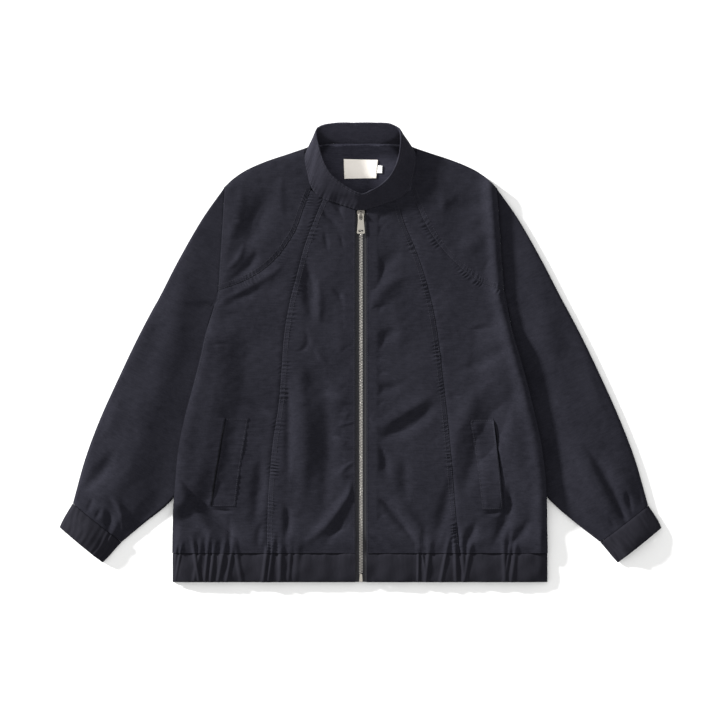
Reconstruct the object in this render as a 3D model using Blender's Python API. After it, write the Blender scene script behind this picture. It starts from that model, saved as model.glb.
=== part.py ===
"""Bomber jacket lying flat with its front up: cloth body and sleeves, stand collar, welt pockets, metal zip.

The tables are in millimetres. +X is the viewer's right, +Y runs towards the collar, +Z is up from the surface
the jacket lies on, and the origin is the middle of its footprint on that surface.
"""

import math
from collections import namedtuple
from functools import partial

import bmesh
import bpy
import numpy as np

MM = 0.001

# Cloth and seams
BACK_CLOTH = 2.2  # shell and lining together
FRONT_CLOTH = 2.4
SLEEVE_CLOTH = 2.0
COLLAR_CLOTH = 2.4
SEAM_GAP = 0.3
SEAM_SLANT = 1.2  # widens the gap for seams that run aslant to the rows
LAYER_GAP = 0.4  # air between two layers that lie on each other
FRONT_RISE = 3.4  # how much higher than at its edges the front lies over the back
SHOULDER_COSINE = 0.93  # turns a height below the sloping shoulder line into a distance from it

# Heights of the body
HEM_SEAM_Y = -310.0
HEM_Y = -355.0
ROLL_LENGTH = 9.0  # the front's edge rolls down over this distance
ARM_EDGE_RAISE = 1.4
ARM_RIM_RAISE = 3.6  # seam allowances pushed to the body side of the armhole
ARM_RIM_AT = 9.0
ARM_RIM_WIDTH = 9.0
SEAM_DIP = 1.1
SEAM_DIP_WIDTH = 5.0
BLOUSE_RAISE = 2.4  # the fronts puff over the hem seam
BLOUSE_AT = 20.0
BLOUSE_WIDTH = 16.0
CALM_EDGE = (1, 14)  # the folds fade out over these distances from the sides,
CALM_ZIP = (8, 20)  # from the zip's middle
CALM_HEM = (0, 12)  # and from the hem seam
NEAR_ZIP = (24, 40)  # the fronts come up on to the tape over these distances from the zip's middle

# Places across the panels, as shares of their width
YOKE_EDGE, SIDE_EDGE, CENTRE_EDGE = 0.06, 0.06, 0.05
BEFORE_WELT = (0.42, 0.72)
BEHIND_WELT = 0.4
BACK_ACROSS = (0, 0.02, 0.05, 0.08, 0.13, 0.2, 0.28, 0.36, 0.43, 0.5,
               0.57, 0.64, 0.72, 0.8, 0.87, 0.92, 0.95, 0.98, 1)
BACK_DOWN = (0, 0.05, 0.15, 0.3, 0.42, 0.5, 0.55, 0.6, 0.65, 0.7, 0.75, 0.8, 0.85, 0.9, 0.95, 1)

# The sleeve's inner edge lies under the body's side between these heights
TUCK_TOP, TUCK_TOP_FADE = 14.0, 44.0
TUCK_END, TUCK_END_FADE = -236.0, 24.0
TUCK_LIFT = 6.8
TUCK_RAMP = 20.0
TUCK_CLEAR = 12.0  # the back is fully raised this far before the sleeve's edge

# Sleeves and cuffs
TUBE_EDGE_GAP = 0.8
TUBE_GAP = 4.4
TUBE_FREE = 30.0  # the sleeve is thin where the body lies on it and reaches its full height this far away
TUBE_MARGIN = 3.0  # how far the rounded folds of a tube reach in from its edges
SLEEVE_SIDES = 9
SLEEVE_SEAM_STEP = 0.9  # the sleeve starts this far outside the armhole seam
TUBE_INNER_MARGIN = 2.2  # as TUBE_MARGIN, on the inner skin
LEAST_SINE = 0.4  # of the angle between a ring and the tube's edge
TUBE_SPREAD = 0.12  # below 0.5, the points of a ring lie closer together at its edges
SLEEVE_BENT_RINGS = 8  # rings over which its bend to the armhole seam fades
SLEEVE_TURN_Y = 14.0  # below this the first ring turns in under the body
HEM_PUFF = 1.6
HEM_STEP = 16.0
HEM_BACK_PLACES = 13
HEM_GATHER_FADE = 0.35  # share of the gathers lost at the hem's lower edge
CUFF_GAP = 5.4

# Zip
ZIP_X = 0.6
FRONT_EDGE_OFFSET = 8.4  # from the zip's middle to each front's edge
TAPE_WIDTH = 15.0
TAPE_THICKNESS = 0.9
TAPE_Z = 4.8
CHAIN_WIDTH = 5.8
CHAIN_BOTTOM, CHAIN_TOP = 3.9, 6.7
ZIP_TOP_Y = 219.0
CHAIN_TOP_Y = 213.0
CHAIN_END_Y = -342.0

# Slider and pull
SLIDER_LENGTH, SLIDER_WIDTH = 13.0, 12.0
SLIDER_TOP_Y = 221.6
SLIDER_CORNER, SLIDER_SHOULDER = 2.6, 6.0  # where its corners end and where it starts to narrow
SLIDER_CUT, SLIDER_TAPER = 1.6, 1.8
PLATE_THICKNESS = 1.0
LOWER_PLATE_Z, UPPER_PLATE_Z = 2.65, 7.1
HINGE_Y, HINGE_Z = 214.4, 9.9
BAIL_WIDTH = 3.0
BAIL_FAR_Y, BAIL_NEAR_Y = 219.0, 210.4
BAIL_POST = 1.3
BAIL_TOP_Z = 12.7
BAIL_FOOT_Z = 7.4  # inside the upper plate
WEDGE_HALF = 1.4
BAIL_ROOF = 1.2
TAB_THICKNESS = 1.6
TAB_BAR = 2.0
TAB_LENGTH = 30.4  # from the hinge to its lower edge
TAB_TOP_WIDTH, TAB_END_WIDTH = 9.0, 12.4
TAB_TOP_CUT, TAB_TOP_CORNER, TAB_END_CUT = 1.2, 1.6, 1.4
WINDOW_WIDTH, WINDOW_LENGTH = 5.4, 8.4
WINDOW_SIDES, WINDOW_SQUARENESS = 16, 0.7
SLOT_WIDTH, SLOT_LENGTH, SLOT_AT = 7.4, 3.2, 24.4

# Neck label
LABEL_THICKNESS = 0.8
LABEL_Z = BACK_CLOTH + 0.35

SeamPoint = namedtuple("SeamPoint", "x y")
Section = namedtuple("Section", "princess_y outer_x outer_y")
FrontSection = namedtuple("FrontSection", "princess_y edge_y")
TubeSection = namedtuple("TubeSection", "out_x out_y in_x in_y puff")
NeckSection = namedtuple("NeckSection", "neck_x neck_y top_x top_y top_z")
Fold = namedtuple("Fold", "x0 y0 x1 y1 x2 y2 width height")
Cluster = namedtuple("Cluster", "x0 x1 count height")
WeltRow = namedtuple("WeltRow", "y inner_x outer_x")

# Seam between the centre front and the side front, from the neck to the hem
PRINCESS = {
    "L": [
        SeamPoint(-58.5, 237.5), SeamPoint(-72, 205), SeamPoint(-87, 165), SeamPoint(-99, 120),
        SeamPoint(-110.5, 75), SeamPoint(-118.5, 28), SeamPoint(-122.5, -25), SeamPoint(-127, -80),
        SeamPoint(-135.5, -135), SeamPoint(-140.5, -185), SeamPoint(-144, -240), SeamPoint(-145, -310),
    ],
    "R": [
        SeamPoint(57, 237.5), SeamPoint(68, 201), SeamPoint(85, 160), SeamPoint(99, 120),
        SeamPoint(111, 75), SeamPoint(119.5, 28), SeamPoint(126, -25), SeamPoint(132.5, -80),
        SeamPoint(138, -135), SeamPoint(142.5, -185), SeamPoint(147, -240), SeamPoint(153, -310),
    ],
}

# Side front: each row runs from the princess seam out to the yoke seam, the armhole or the side seam
SIDE_FRONT = {
    "L": [
        Section(237.5, -77, 252), Section(220, -88, 223), Section(190, -101, 188),
        Section(160, -125, 152), Section(140, -153, 126), Section(124, -184, 109),
        Section(108, -220.5, 96), Section(76, -227, 72), Section(32, -239.5, 30),
        Section(-8, -248, -8), Section(-50, -258.5, -50), Section(-98, -270.5, -95),
        Section(-147, -281, -145), Section(-200, -286.5, -200),
        Section(-257, -290, -257), Section(-310, -291, -310),
    ],
    "R": [
        Section(237.5, 78, 252), Section(218, 90, 221), Section(188, 108, 186),
        Section(160, 131, 155), Section(140, 160, 127), Section(124, 190, 107),
        Section(108, 222.5, 96), Section(74, 228, 70), Section(30, 236.5, 28),
        Section(-8, 247, -8), Section(-50, 258.5, -50), Section(-97, 269.5, -95),
        Section(-147, 280, -145), Section(-200, 286.5, -200),
        Section(-257, 288.5, -257), Section(-310, 289.5, -310),
    ],
}
YOKE_CORNER = 6  # the row at which the yoke seam meets the armhole

# Centre front: each row runs from the princess seam to the front edge beside the zip
CENTRE_FRONT = [
    FrontSection(237.5, 220.5), FrontSection(215, 203), FrontSection(180, 174), FrontSection(140, 138),
    FrontSection(90, 90), FrontSection(35, 35), FrontSection(-25, -25), FrontSection(-90, -90),
    FrontSection(-150, -150), FrontSection(-205, -205), FrontSection(-260, -260), FrontSection(-310, -310),
]

# Shoulder line from the neck to the armhole: the yoke's upper edge above each yoke-seam row
SHOULDER = {
    "L": [
        SeamPoint(-88, 316), SeamPoint(-113, 307.5), SeamPoint(-139, 299), SeamPoint(-162, 290),
        SeamPoint(-181, 280.5), SeamPoint(-197.5, 269), SeamPoint(-210.5, 256.5),
    ],
    "R": [
        SeamPoint(88, 316), SeamPoint(113, 307.5), SeamPoint(139, 299), SeamPoint(162, 290),
        SeamPoint(181, 280.5), SeamPoint(197.5, 268), SeamPoint(211, 254.5),
    ],
}

# Sleeve rings from the armhole to the cuff, each from its outer edge to its inner edge. The first ring follows
# the armhole and turns in under the body at its foot, so that no ring crosses the next.
SLEEVE = {
    "L": [
        TubeSection(-210.5, 256.5, -236, -34, 0.2), TubeSection(-247, 206, -244, -74, 1.0),
        TubeSection(-283, 144, -249, -106, 1.5), TubeSection(-314, 82, -254, -138, 1.6),
        TubeSection(-346.5, 20, -262, -172, 1.6), TubeSection(-376, -42, -277, -208, 2.0),
        TubeSection(-404, -104, -300, -236, 2.6), TubeSection(-427, -166, -335, -264, 3.0),
        TubeSection(-445.5, -233, -370, -293, 2.0),
    ],
    "R": [
        TubeSection(211, 254.5, 236, -34, 0.2), TubeSection(245.5, 206, 244, -74, 1.0),
        TubeSection(281, 144, 249, -106, 1.5), TubeSection(312.5, 82, 254, -138, 1.6),
        TubeSection(345, 20, 262, -172, 1.6), TubeSection(374.5, -42, 277, -208, 2.0),
        TubeSection(402, -104, 300, -235, 2.6), TubeSection(425.5, -166, 335, -265, 3.0),
        TubeSection(445.5, -236, 371, -293, 2.0),
    ],
}

# Cuff rings from the seam to the wrist end
CUFF = {
    "L": [
        TubeSection(-445.9, -233.6, -370.4, -293.6, 2.0), TubeSection(-453.5, -246, -380, -304, 4.0),
        TubeSection(-461, -259, -389.5, -315, 4.4), TubeSection(-466.2, -270, -399.5, -325, 2.2),
    ],
    "R": [
        TubeSection(445.9, -236.6, 371.4, -293.6, 2.0), TubeSection(453.5, -248, 380.5, -304, 4.0),
        TubeSection(461, -260, 389.5, -315, 4.4), TubeSection(466.2, -271, 398.5, -325, 2.2),
    ],
}
CUFF_GATHERS = 9
CUFF_GATHER_HEIGHT = 1.3
CUFF_OUTER_SHARE = 0.25  # of the gathers' height, left at the outer edge
CUFF_CROWDING = 0.8  # below 1, the gathers crowd towards the inner edge
CUFF_PHASE = {"L": 0.3, "R": 0.0}

# Collar sections from its left front end round the back of the neck to its right front end
COLLAR = [
    NeckSection(-6.5, 220.5, 1.0, 244.5, 21), NeckSection(-22, 225.5, -11, 249.5, 22),
    NeckSection(-40, 231.5, -26, 259, 23), NeckSection(-58.5, 237.5, -42.5, 272, 24),
    NeckSection(-71, 246, -53, 287, 25), NeckSection(-79, 262, -60, 304, 25.5),
    NeckSection(-84, 284, -65, 322, 25), NeckSection(-86.5, 301, -67.5, 336, 24.5),
    NeckSection(-85.5, 312, -66, 346, 24), NeckSection(-76, 319.5, -56, 351, 24),
    NeckSection(-58, 323, -42, 353.6, 24), NeckSection(-30, 324, -22, 354.1, 24),
    NeckSection(0, 324, 0, 354.1, 24),
    NeckSection(30, 324, 22, 354.1, 24), NeckSection(58, 323, 41, 353.4, 24),
    NeckSection(76, 319.5, 53, 350, 24), NeckSection(85, 312, 60.5, 343, 24),
    NeckSection(86.5, 301, 62, 331, 24.5), NeckSection(84, 284, 61, 315, 25),
    NeckSection(79, 262, 58, 299, 25.5), NeckSection(71, 246, 52, 283, 25),
    NeckSection(58.5, 237.5, 41.5, 267.5, 24), NeckSection(41, 231.5, 27.5, 256, 23),
    NeckSection(24, 225.5, 15, 249.5, 22), NeckSection(8.5, 220.5, 8.2, 246, 21),
]
COLLAR_ROWS = 4
COLLAR_SHIFT = 2.3  # the collar's wall stands this far inside the neck seam
COLLAR_BACK_Z = 4.2  # middle of its wall above the back's neck edge
COLLAR_RISE = 0.85  # below 1, the collar rises faster near its seam

# Back neck edge, from the left shoulder to the right
BACK_NECK = [
    SeamPoint(-76, 320.5), SeamPoint(-58, 323.5), SeamPoint(0, 325), SeamPoint(58, 323.5),
    SeamPoint(76, 320.5),
]

# Welt of each slanted pocket: its edge at the opening is the outer one
WELT = {
    "L": [
        WeltRow(-101, -173, -208), WeltRow(-145, -181, -215.5),
        WeltRow(-190, -188, -223), WeltRow(-238, -194, -231),
    ],
    "R": [
        WeltRow(-103, 169, 205.5), WeltRow(-145, 176, 210.5),
        WeltRow(-190, 182, 216), WeltRow(-243, 188, 221),
    ],
}
WELT_THICKNESS = 1.6
WELT_LIFT = 0.5  # the welt lies this far above the front
WELT_END_LIFT = 0.9  # and this far at its sewn ends
WELT_EVEN = 0.4  # how far its height evens out across it

# Main folds of the fronts: a curve through three points, full width at half height, positive for a ridge
FOLDS = [
    Fold(-171, 260, -199, 190, -213, 141, 26, -3.6), Fold(-143, 283, -156, 206, -167, 144, 20, 2.6),
    Fold(-196, 275, -180, 225, -188, 160, 22, 2.2), Fold(-171, 159, -190, 136, -210, 113, 12, 1.6),
    Fold(-117, 141, -159, 107, -218, 82, 16, 2.0), Fold(-90, 141, -88, 97, -84, 45, 18, -3.6),
    Fold(-76, 120, -72, 70, -70, 20, 22, 2.6), Fold(-86, -19, -66, -50, -32, -67, 22, -2.8),
    Fold(-66, -73, -44, -151, -58, -262, 30, -4.2), Fold(-88, -90, -74, -150, -86, -240, 24, 2.4),
    Fold(-7, -189, -35, -247, -94, -298, 16, 4.6), Fold(-5, -210, -24, -251, -60, -303, 16, -3.8),
    Fold(-122, -228, -114, -259, -120, -298, 12, -3.2), Fold(-280, -197, -226, -259, -187, -301, 18, -3.4),
    Fold(-270, -225, -232, -272, -214, -302, 16, 2.8), Fold(-200, -10, -196, -60, -205, -95, 34, 2.4),
    Fold(-160, -110, -158, -170, -166, -250, 20, -2.4),
    Fold(16, 90, 33, 131, 66, 158, 20, -3.0), Fold(14, 60, 40, 100, 78, 120, 18, 2.4),
    Fold(12, 0, 36, 23, 66, 36, 16, -2.6), Fold(12, -62, 40, -56, 66, -48, 14, -2.2),
    Fold(24, -137, 74, -110, 126, -74, 20, -4.4), Fold(20, -118, 70, -92, 118, -58, 20, 2.8),
    Fold(9, -148, 30, -160, 42, -190, 14, -2.6), Fold(26, -225, 58, -259, 92, -305, 16, -3.8),
    Fold(42, -222, 74, -252, 110, -296, 18, 3.0), Fold(150, -30, 198, -8, 234, 20, 18, -2.6),
    Fold(156, -98, 193, -62, 244, -36, 20, -4.2), Fold(160, -74, 198, -42, 246, -16, 20, 2.8),
    Fold(160, -112, 160, -163, 163, -220, 18, -3.4), Fold(236, -170, 240, -225, 232, -280, 20, -3.2),
    Fold(178, -262, 171, -282, 160, -300, 14, -3.0), Fold(216, -259, 208, -282, 201, -303, 12, -2.6),
    Fold(262, -255, 247, -282, 226, -300, 14, -2.6), Fold(58, -160, 60, -200, 56, -240, 26, 2.0),
    Fold(205, 240, 160, 225, 130, 232, 26, -2.4), Fold(200, 200, 175, 170, 150, 160, 24, 2.0),
]

# Main folds of the sleeves and cuffs
SLEEVE_FOLDS = [
    Fold(342, -138, 381, -197, 424, -296, 16, -2.2), Fold(322, -150, 366, -206, 402, -292, 18, 1.6),
    Fold(376, -150, 404, -190, 436, -236, 18, 1.6), Fold(-393, -178, -404, -190, -418, -202, 12, -1.8),
    Fold(-388, -215, -382, -233, -374, -250, 10, -1.6), Fold(-345, -150, -372, -200, -398, -246, 24, 1.6),
    Fold(262, 120, 284, 40, 300, -60, 34, 1.6), Fold(300, 60, 322, -20, 338, -90, 30, -1.4),
    Fold(-264, 130, -280, 60, -290, -40, 34, 1.6), Fold(-310, 50, -326, -20, -330, -90, 30, -1.4),
    Fold(-370, -60, -388, -100, -404, -140, 26, 1.4), Fold(352, -20, 372, -70, 388, -120, 28, 1.6),
]

# Clusters of gathers along the front hem seam, each between two places, with the number of its ridges
GATHERS = {
    "L": [
        Cluster(-288, -274, 2, 2.2), Cluster(-262, -224, 4, 2.8), Cluster(-217, -185, 3, 2.6),
        Cluster(-150, -120, 3, 2.6), Cluster(-114, -90, 2, 2.2),
    ],
    "R": [Cluster(84, 110, 3, 2.4), Cluster(129, 172, 4, 3.0), Cluster(217, 245, 3, 2.2)],
}
HEM_ROWS = [0.0, 0.12, 0.5, 0.86, 1.0]


# Curves and heights
def smooth_rows(rows, steps, corners=()):
    """Rows of numbers interpolated smoothly, with `steps` new rows to each span and breaks at the corners."""
    table = np.array([row for row in rows], float)
    count = len(table)
    slope = np.empty_like(table)
    for i in range(count):
        if i == 0 or i == count - 1 or i in corners:
            slope[i] = 0
        else:
            slope[i] = 0.5 * (table[i + 1] - table[i - 1])
    result = [table[0]]
    for i in range(count - 1):
        step = table[i + 1] - table[i]
        start = slope[i] if slope[i].any() else step
        end = slope[i + 1] if slope[i + 1].any() else step
        for k in range(1, steps + 1):
            t = k / steps
            result.append(
                table[i] + step * (3 * t**2 - 2 * t**3)
                + start * (t - 2 * t**2 + t**3) + end * (t**3 - t**2)
            )
    return np.array(result)


def table_x(rows, y):
    """x on a curve of (x, y) rows at the given y, smoothly interpolated; the rows run down in y."""
    fine = smooth_rows(rows, 8)
    return np.interp(-np.asarray(y, float), -fine[:, 1], fine[:, 0])


def ramp(value, low, high):
    """0 below `low`, 1 above `high`, smooth between."""
    t = np.clip((value - low) / (high - low), 0, 1)
    return t * t * (3 - 2 * t)


def bump(distance, width):
    """1 at no distance, one half at half the width."""
    return np.exp(-math.log(2) * (2 * distance / width) ** 2)


def side_of(x):
    return np.where(np.asarray(x) < 0, 0, 1)


def arm_curve(side):
    """Points of the armhole and side seam, from the shoulder to the hem seam."""
    below = [SeamPoint(row.outer_x, row.outer_y) for row in SIDE_FRONT[side][YOKE_CORNER:]]
    return [SHOULDER[side][-1]] + below


def yoke_seam(side, steps):
    return smooth_rows([(row.outer_x, row.outer_y) for row in SIDE_FRONT[side][:YOKE_CORNER + 1]], steps)


def body_edge_x(y):
    """Half widths of the body at y, left and right, down to the hem's lower edge."""
    foot = [SeamPoint(SIDE_FRONT[side][-1].outer_x, HEM_Y) for side in ("L", "R")]
    return [np.abs(table_x(arm_curve(side) + [foot[k]], y)) for k, side in enumerate(("L", "R"))]


def shoulder_y(x):
    both = np.array([(s.x, s.y) for s in reversed(SHOULDER["L"])]
                    + [(s.x, s.y) for s in SHOULDER["R"]])
    return np.interp(x, both[:, 0], both[:, 1])


def sleeve_inner_x(y):
    """Distance of the sleeves' inner edges from the middle, left and right."""
    return [np.abs(table_x([(s.in_x, s.in_y) for s in SLEEVE[side]], y)) for side in ("L", "R")]


def by_side(x, pair):
    return np.where(side_of(x) == 0, pair[0], pair[1])


def tuck_lift(x, y):
    """How far the body is raised where the sleeve's inner edge lies under it."""
    inner = by_side(x, sleeve_inner_x(np.clip(y, SLEEVE["L"][-1].in_y, SLEEVE["L"][0].in_y)))
    inside = ramp(np.abs(x) - inner, -TUCK_RAMP - TUCK_CLEAR, -TUCK_CLEAR)
    along = ramp(-y, -TUCK_TOP - TUCK_TOP_FADE, -TUCK_TOP)
    along = along * (1 - ramp(-y, -TUCK_END, -TUCK_END + TUCK_END_FADE))
    return TUCK_LIFT * inside * along


def folds_at(x, y, folds):
    """Sum of the folds' heights."""
    total = np.zeros(np.shape(x))
    for fold in folds:
        t = np.linspace(0, 1, 13)[:, None]
        a, b, c = (np.array(p) for p in ((fold.x0, fold.y0), (fold.x1, fold.y1), (fold.x2, fold.y2)))
        middle = 2 * b - 0.5 * (a + c)
        curve = (1 - t) ** 2 * a + 2 * t * (1 - t) * middle + t**2 * c
        nearest = np.full(np.shape(x), np.inf)
        along = np.zeros(np.shape(x))
        for i in range(len(curve) - 1):
            p, q = curve[i], curve[i + 1]
            run = q - p
            s = np.clip(((x - p[0]) * run[0] + (y - p[1]) * run[1]) / (run @ run), 0, 1)
            away = np.hypot(x - p[0] - s * run[0], y - p[1] - s * run[1])
            closer = away < nearest
            nearest = np.where(closer, away, nearest)
            along = np.where(closer, (i + s) / (len(curve) - 1), along)
        fade = ramp(along, -0.05, 0.3) * (1 - ramp(along, 0.7, 1.05))
        total += fold.height * fade * bump(nearest, fold.width)
    return total


def gather_wave(x, side):
    """Height of the hem's gathers at x."""
    total = np.zeros(np.shape(x))
    for cluster in GATHERS[side]:
        pitch = (cluster.x1 - cluster.x0) / cluster.count
        phase = (x - cluster.x0) / pitch
        inside = (phase > 0) & (phase < cluster.count)
        total += np.where(inside, cluster.height * (0.5 - 0.5 * np.cos(2 * math.pi * phase)), 0)
    return total


def front_level(x, y):
    """Height of the fronts' underside."""
    edge = by_side(x, body_edge_x(y)) - np.abs(x)
    below = SHOULDER_COSINE * (shoulder_y(x) - y)
    inward = np.maximum(np.minimum(edge, below), 0)
    level = BACK_CLOTH + LAYER_GAP + FRONT_RISE * (1 - np.exp(-inward / ROLL_LENGTH))
    armhole = ramp(y, -330, -300)
    level = level + armhole * ARM_EDGE_RAISE * np.exp(-np.maximum(edge, 0) / ROLL_LENGTH)
    level = level + armhole * ARM_RIM_RAISE * bump(edge - ARM_RIM_AT, 2 * ARM_RIM_WIDTH)
    level = level + tuck_lift(x, y)
    for side in ("L", "R"):
        level = level - SEAM_DIP * bump(x - table_x(PRINCESS[side], y), 2 * SEAM_DIP_WIDTH)
        seam = yoke_seam(side, 6)
        gap = np.min([np.hypot(x - p[0], y - p[1]) for p in seam], axis=0)
        level = level - SEAM_DIP * bump(gap, 2 * SEAM_DIP_WIDTH)
    level = level + BLOUSE_RAISE * bump(y - HEM_SEAM_Y - BLOUSE_AT, 2 * BLOUSE_WIDTH) * ramp(inward, 0, 12)
    calm = ramp(inward, *CALM_EDGE) * ramp(np.abs(x - ZIP_X), *CALM_ZIP) * ramp(y - HEM_SEAM_Y, *CALM_HEM)
    level = level + calm * folds_at(x, y, FOLDS)
    least = BACK_CLOTH + LAYER_GAP + tuck_lift(x, y)
    near_zip = 1 - ramp(np.abs(x - ZIP_X), *NEAR_ZIP)
    least = least + near_zip * (TAPE_Z + TAPE_THICKNESS + LAYER_GAP - BACK_CLOTH - LAYER_GAP)
    return np.maximum(level, least)


# Meshes
def material(name, colour, roughness, metallic=0.0):
    made = bpy.data.materials.new(name)
    made.use_nodes = True
    shader = made.node_tree.nodes["Principled BSDF"]
    shader.inputs["Base Color"].default_value = (*colour, 1)
    shader.inputs["Roughness"].default_value = roughness
    shader.inputs["Metallic"].default_value = metallic
    made.diffuse_color = (*colour, 1)
    return made


def add_object(name, bm, finish, smooth=True):
    """A scene object from a bmesh in millimetres; the quads of cloth are split evenly."""
    bmesh.ops.recalc_face_normals(bm, faces=bm.faces)
    if smooth:
        bmesh.ops.triangulate(bm, faces=bm.faces[:], quad_method="BEAUTY")
    bmesh.ops.scale(bm, vec=(MM, MM, MM), verts=bm.verts)
    mesh = bpy.data.meshes.new(name)
    bm.to_mesh(mesh)
    bm.free()
    if smooth:
        mesh.shade_smooth()
        mesh.set_sharp_from_angle(angle=math.radians(40))
    mesh.materials.append(finish)
    made = bpy.data.objects.new(name, mesh)
    bpy.context.scene.collection.objects.link(made)
    return made


def cloth_wall(name, points, thickness, finish):
    """A closed wall: rows of points on its underside, and the same points moved up by its thickness."""
    rows, columns = points.shape[:2]
    bm = bmesh.new()
    bmesh.ops.create_grid(bm, x_segments=columns - 1, y_segments=rows - 1, size=1)
    bm.verts.ensure_lookup_table()
    for k, vert in enumerate(bm.verts):
        vert.co = points[k // columns, k % columns]
    upper = bmesh.ops.extrude_face_region(bm, geom=bm.faces[:])["geom"]
    for vert in (v for v in upper if isinstance(v, bmesh.types.BMVert)):
        vert.co.z += thickness
    return add_object(name, bm, finish)


def inset_rows(plan, gap):
    """The rows of a panel drawn in from its seams by half the gap between two panels."""
    plan = plan.copy()
    inner = plan[1:-1, 1:-1].copy()
    for axis in (0, 1):
        along = np.moveaxis(plan, axis, 0)
        for end, neighbour in ((0, 1), (-1, -2)):
            run = along[neighbour] - along[end]
            length = np.linalg.norm(run, axis=-1, keepdims=True)
            along[end] += run / length * gap / 2 * SEAM_SLANT
    plan[1:-1, 1:-1] = inner
    return plan


def fractions(count, edge):
    """Places across a panel, closer together at both edges."""
    middle = np.linspace(edge, 1 - edge, count - 2)
    return np.concatenate([[0], middle, [1]])


def panel(starts, ends, across):
    """Plan points of a panel whose rows run straight between two seams."""
    return starts[:, None, :] + (ends - starts)[:, None, :] * np.asarray(across)[None, :, None]


def lifted(plan):
    x, y = plan[..., 0], plan[..., 1]
    return np.dstack([x, y, front_level(x, y)])


def side_rows(side, steps):
    rows = [(r.princess_y, r.outer_x, r.outer_y) for r in SIDE_FRONT[side]]
    fine = smooth_rows(rows, steps, corners=(YOKE_CORNER,))
    inner = np.column_stack([table_x(PRINCESS[side], fine[:, 0]), fine[:, 0]])
    return inner, fine[:, 1:]


def build_yoke(side, finish):
    seam = yoke_seam(side, 2)
    shoulder = smooth_rows(SHOULDER[side], 2)
    plan = inset_rows(panel(seam, shoulder, fractions(9, YOKE_EDGE)), SEAM_GAP)
    cloth_wall("yoke_" + side, lifted(plan), FRONT_CLOTH, finish)


def build_side_front(side, finish):
    """The side front, and the pocket welt made from its points moved up."""
    inner, outer = side_rows(side, 2)
    places = []
    rows = WELT[side]
    for start, end in zip(inner, outer):
        y = 0.5 * (start[1] + end[1])
        spot = np.clip(y, rows[-1].y, rows[0].y)
        near = np.interp(-spot, [-r.y for r in rows], [r.inner_x for r in rows])
        far = np.interp(-spot, [-r.y for r in rows], [r.outer_x for r in rows])
        base = table_x(PRINCESS[side], spot)
        span = table_x(arm_curve(side)[1:], spot) - base
        a, b = (near - base) / span, (far - base) / span
        inside = [a * share for share in BEFORE_WELT] + [a, (a + b) / 2, b, b + (1 - b) * BEHIND_WELT]
        places.append([0, SIDE_EDGE, *inside, 1 - SIDE_EDGE, 1])
    places = np.array(places)
    plan = start_end(inner, outer, places)
    points = lifted(inset_rows(plan, SEAM_GAP))
    cloth_wall("side_front_" + side, points, FRONT_CLOTH, finish)
    heights = plan[:, 5, 1]
    inside = np.flatnonzero((heights <= rows[0].y) & (heights >= rows[-1].y))
    block = points[inside[0] - 1:inside[-1] + 2, 4:7].copy()
    block[0, :, 1] = rows[0].y
    block[-1, :, 1] = rows[-1].y
    top = block[..., 2].max(axis=1, keepdims=True)
    level = np.maximum(block[..., 2], (1 - WELT_EVEN) * block[..., 2] + WELT_EVEN * top)
    block[..., 2] = level + FRONT_CLOTH + WELT_LIFT
    for row in (0, -1):
        block[row, :, 2] = front_level(block[row, :, 0], block[row, :, 1]) + FRONT_CLOTH + WELT_END_LIFT
    cloth_wall("welt_" + side, block, WELT_THICKNESS, finish)


def start_end(starts, ends, places):
    return starts[:, None, :] + (ends - starts)[:, None, :] * places[..., None]


def build_centre_front(side, finish):
    rows = smooth_rows(CENTRE_FRONT, 2)
    sign = -1 if side == "L" else 1
    starts = np.column_stack([table_x(PRINCESS[side], rows[:, 0]), rows[:, 0]])
    ends = np.column_stack([np.full(len(rows), ZIP_X + sign * FRONT_EDGE_OFFSET), rows[:, 1]])
    plan = inset_rows(panel(starts, ends, fractions(10, CENTRE_EDGE)), SEAM_GAP)
    cloth_wall("centre_front_" + side, lifted(plan), FRONT_CLOTH, finish)


def build_back(finish):
    """The back, from its neck and shoulders to the hem band, flat but for the sleeves' tucked edges."""
    top = [(s.x, s.y) for s in reversed(SHOULDER["L"])]
    top += list(BACK_NECK) + [(s.x, s.y) for s in SHOULDER["R"]]
    top = np.array(top)
    place = np.concatenate([[0], np.cumsum(np.hypot(*np.diff(top, axis=0).T))])
    across, down = np.array(BACK_ACROSS), np.array(BACK_DOWN)
    along = np.interp(place[-1] * across, place, np.arange(len(top)))
    upper = np.column_stack([np.interp(along, np.arange(len(top)), top[:, k]) for k in (0, 1)])
    lower = np.column_stack([
        SIDE_FRONT["L"][-1].outer_x + (SIDE_FRONT["R"][-1].outer_x - SIDE_FRONT["L"][-1].outer_x) * across,
        np.full(len(across), HEM_SEAM_Y),
    ])
    sides = []
    for side, column in (("L", 0), ("R", -1)):
        y = upper[column, 1] + (HEM_SEAM_Y - upper[column, 1]) * down
        sides.append(np.column_stack([table_x(arm_curve(side), y), y]))
    u, v = across[None, :, None], down[:, None, None]
    plan = (1 - v) * upper[None] + v * lower[None]
    plan = plan + (1 - u) * sides[0][:, None] + u * sides[1][:, None]
    plan = plan - (1 - u) * ((1 - v) * upper[0] + v * lower[0]) - u * ((1 - v) * upper[-1] + v * lower[-1])
    plan = inset_rows(plan, SEAM_GAP * 2)
    x, y = plan[..., 0], plan[..., 1]
    cloth_wall("back", np.dstack([x, y, tuck_lift(x, y)]), BACK_CLOTH, finish)


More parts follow.
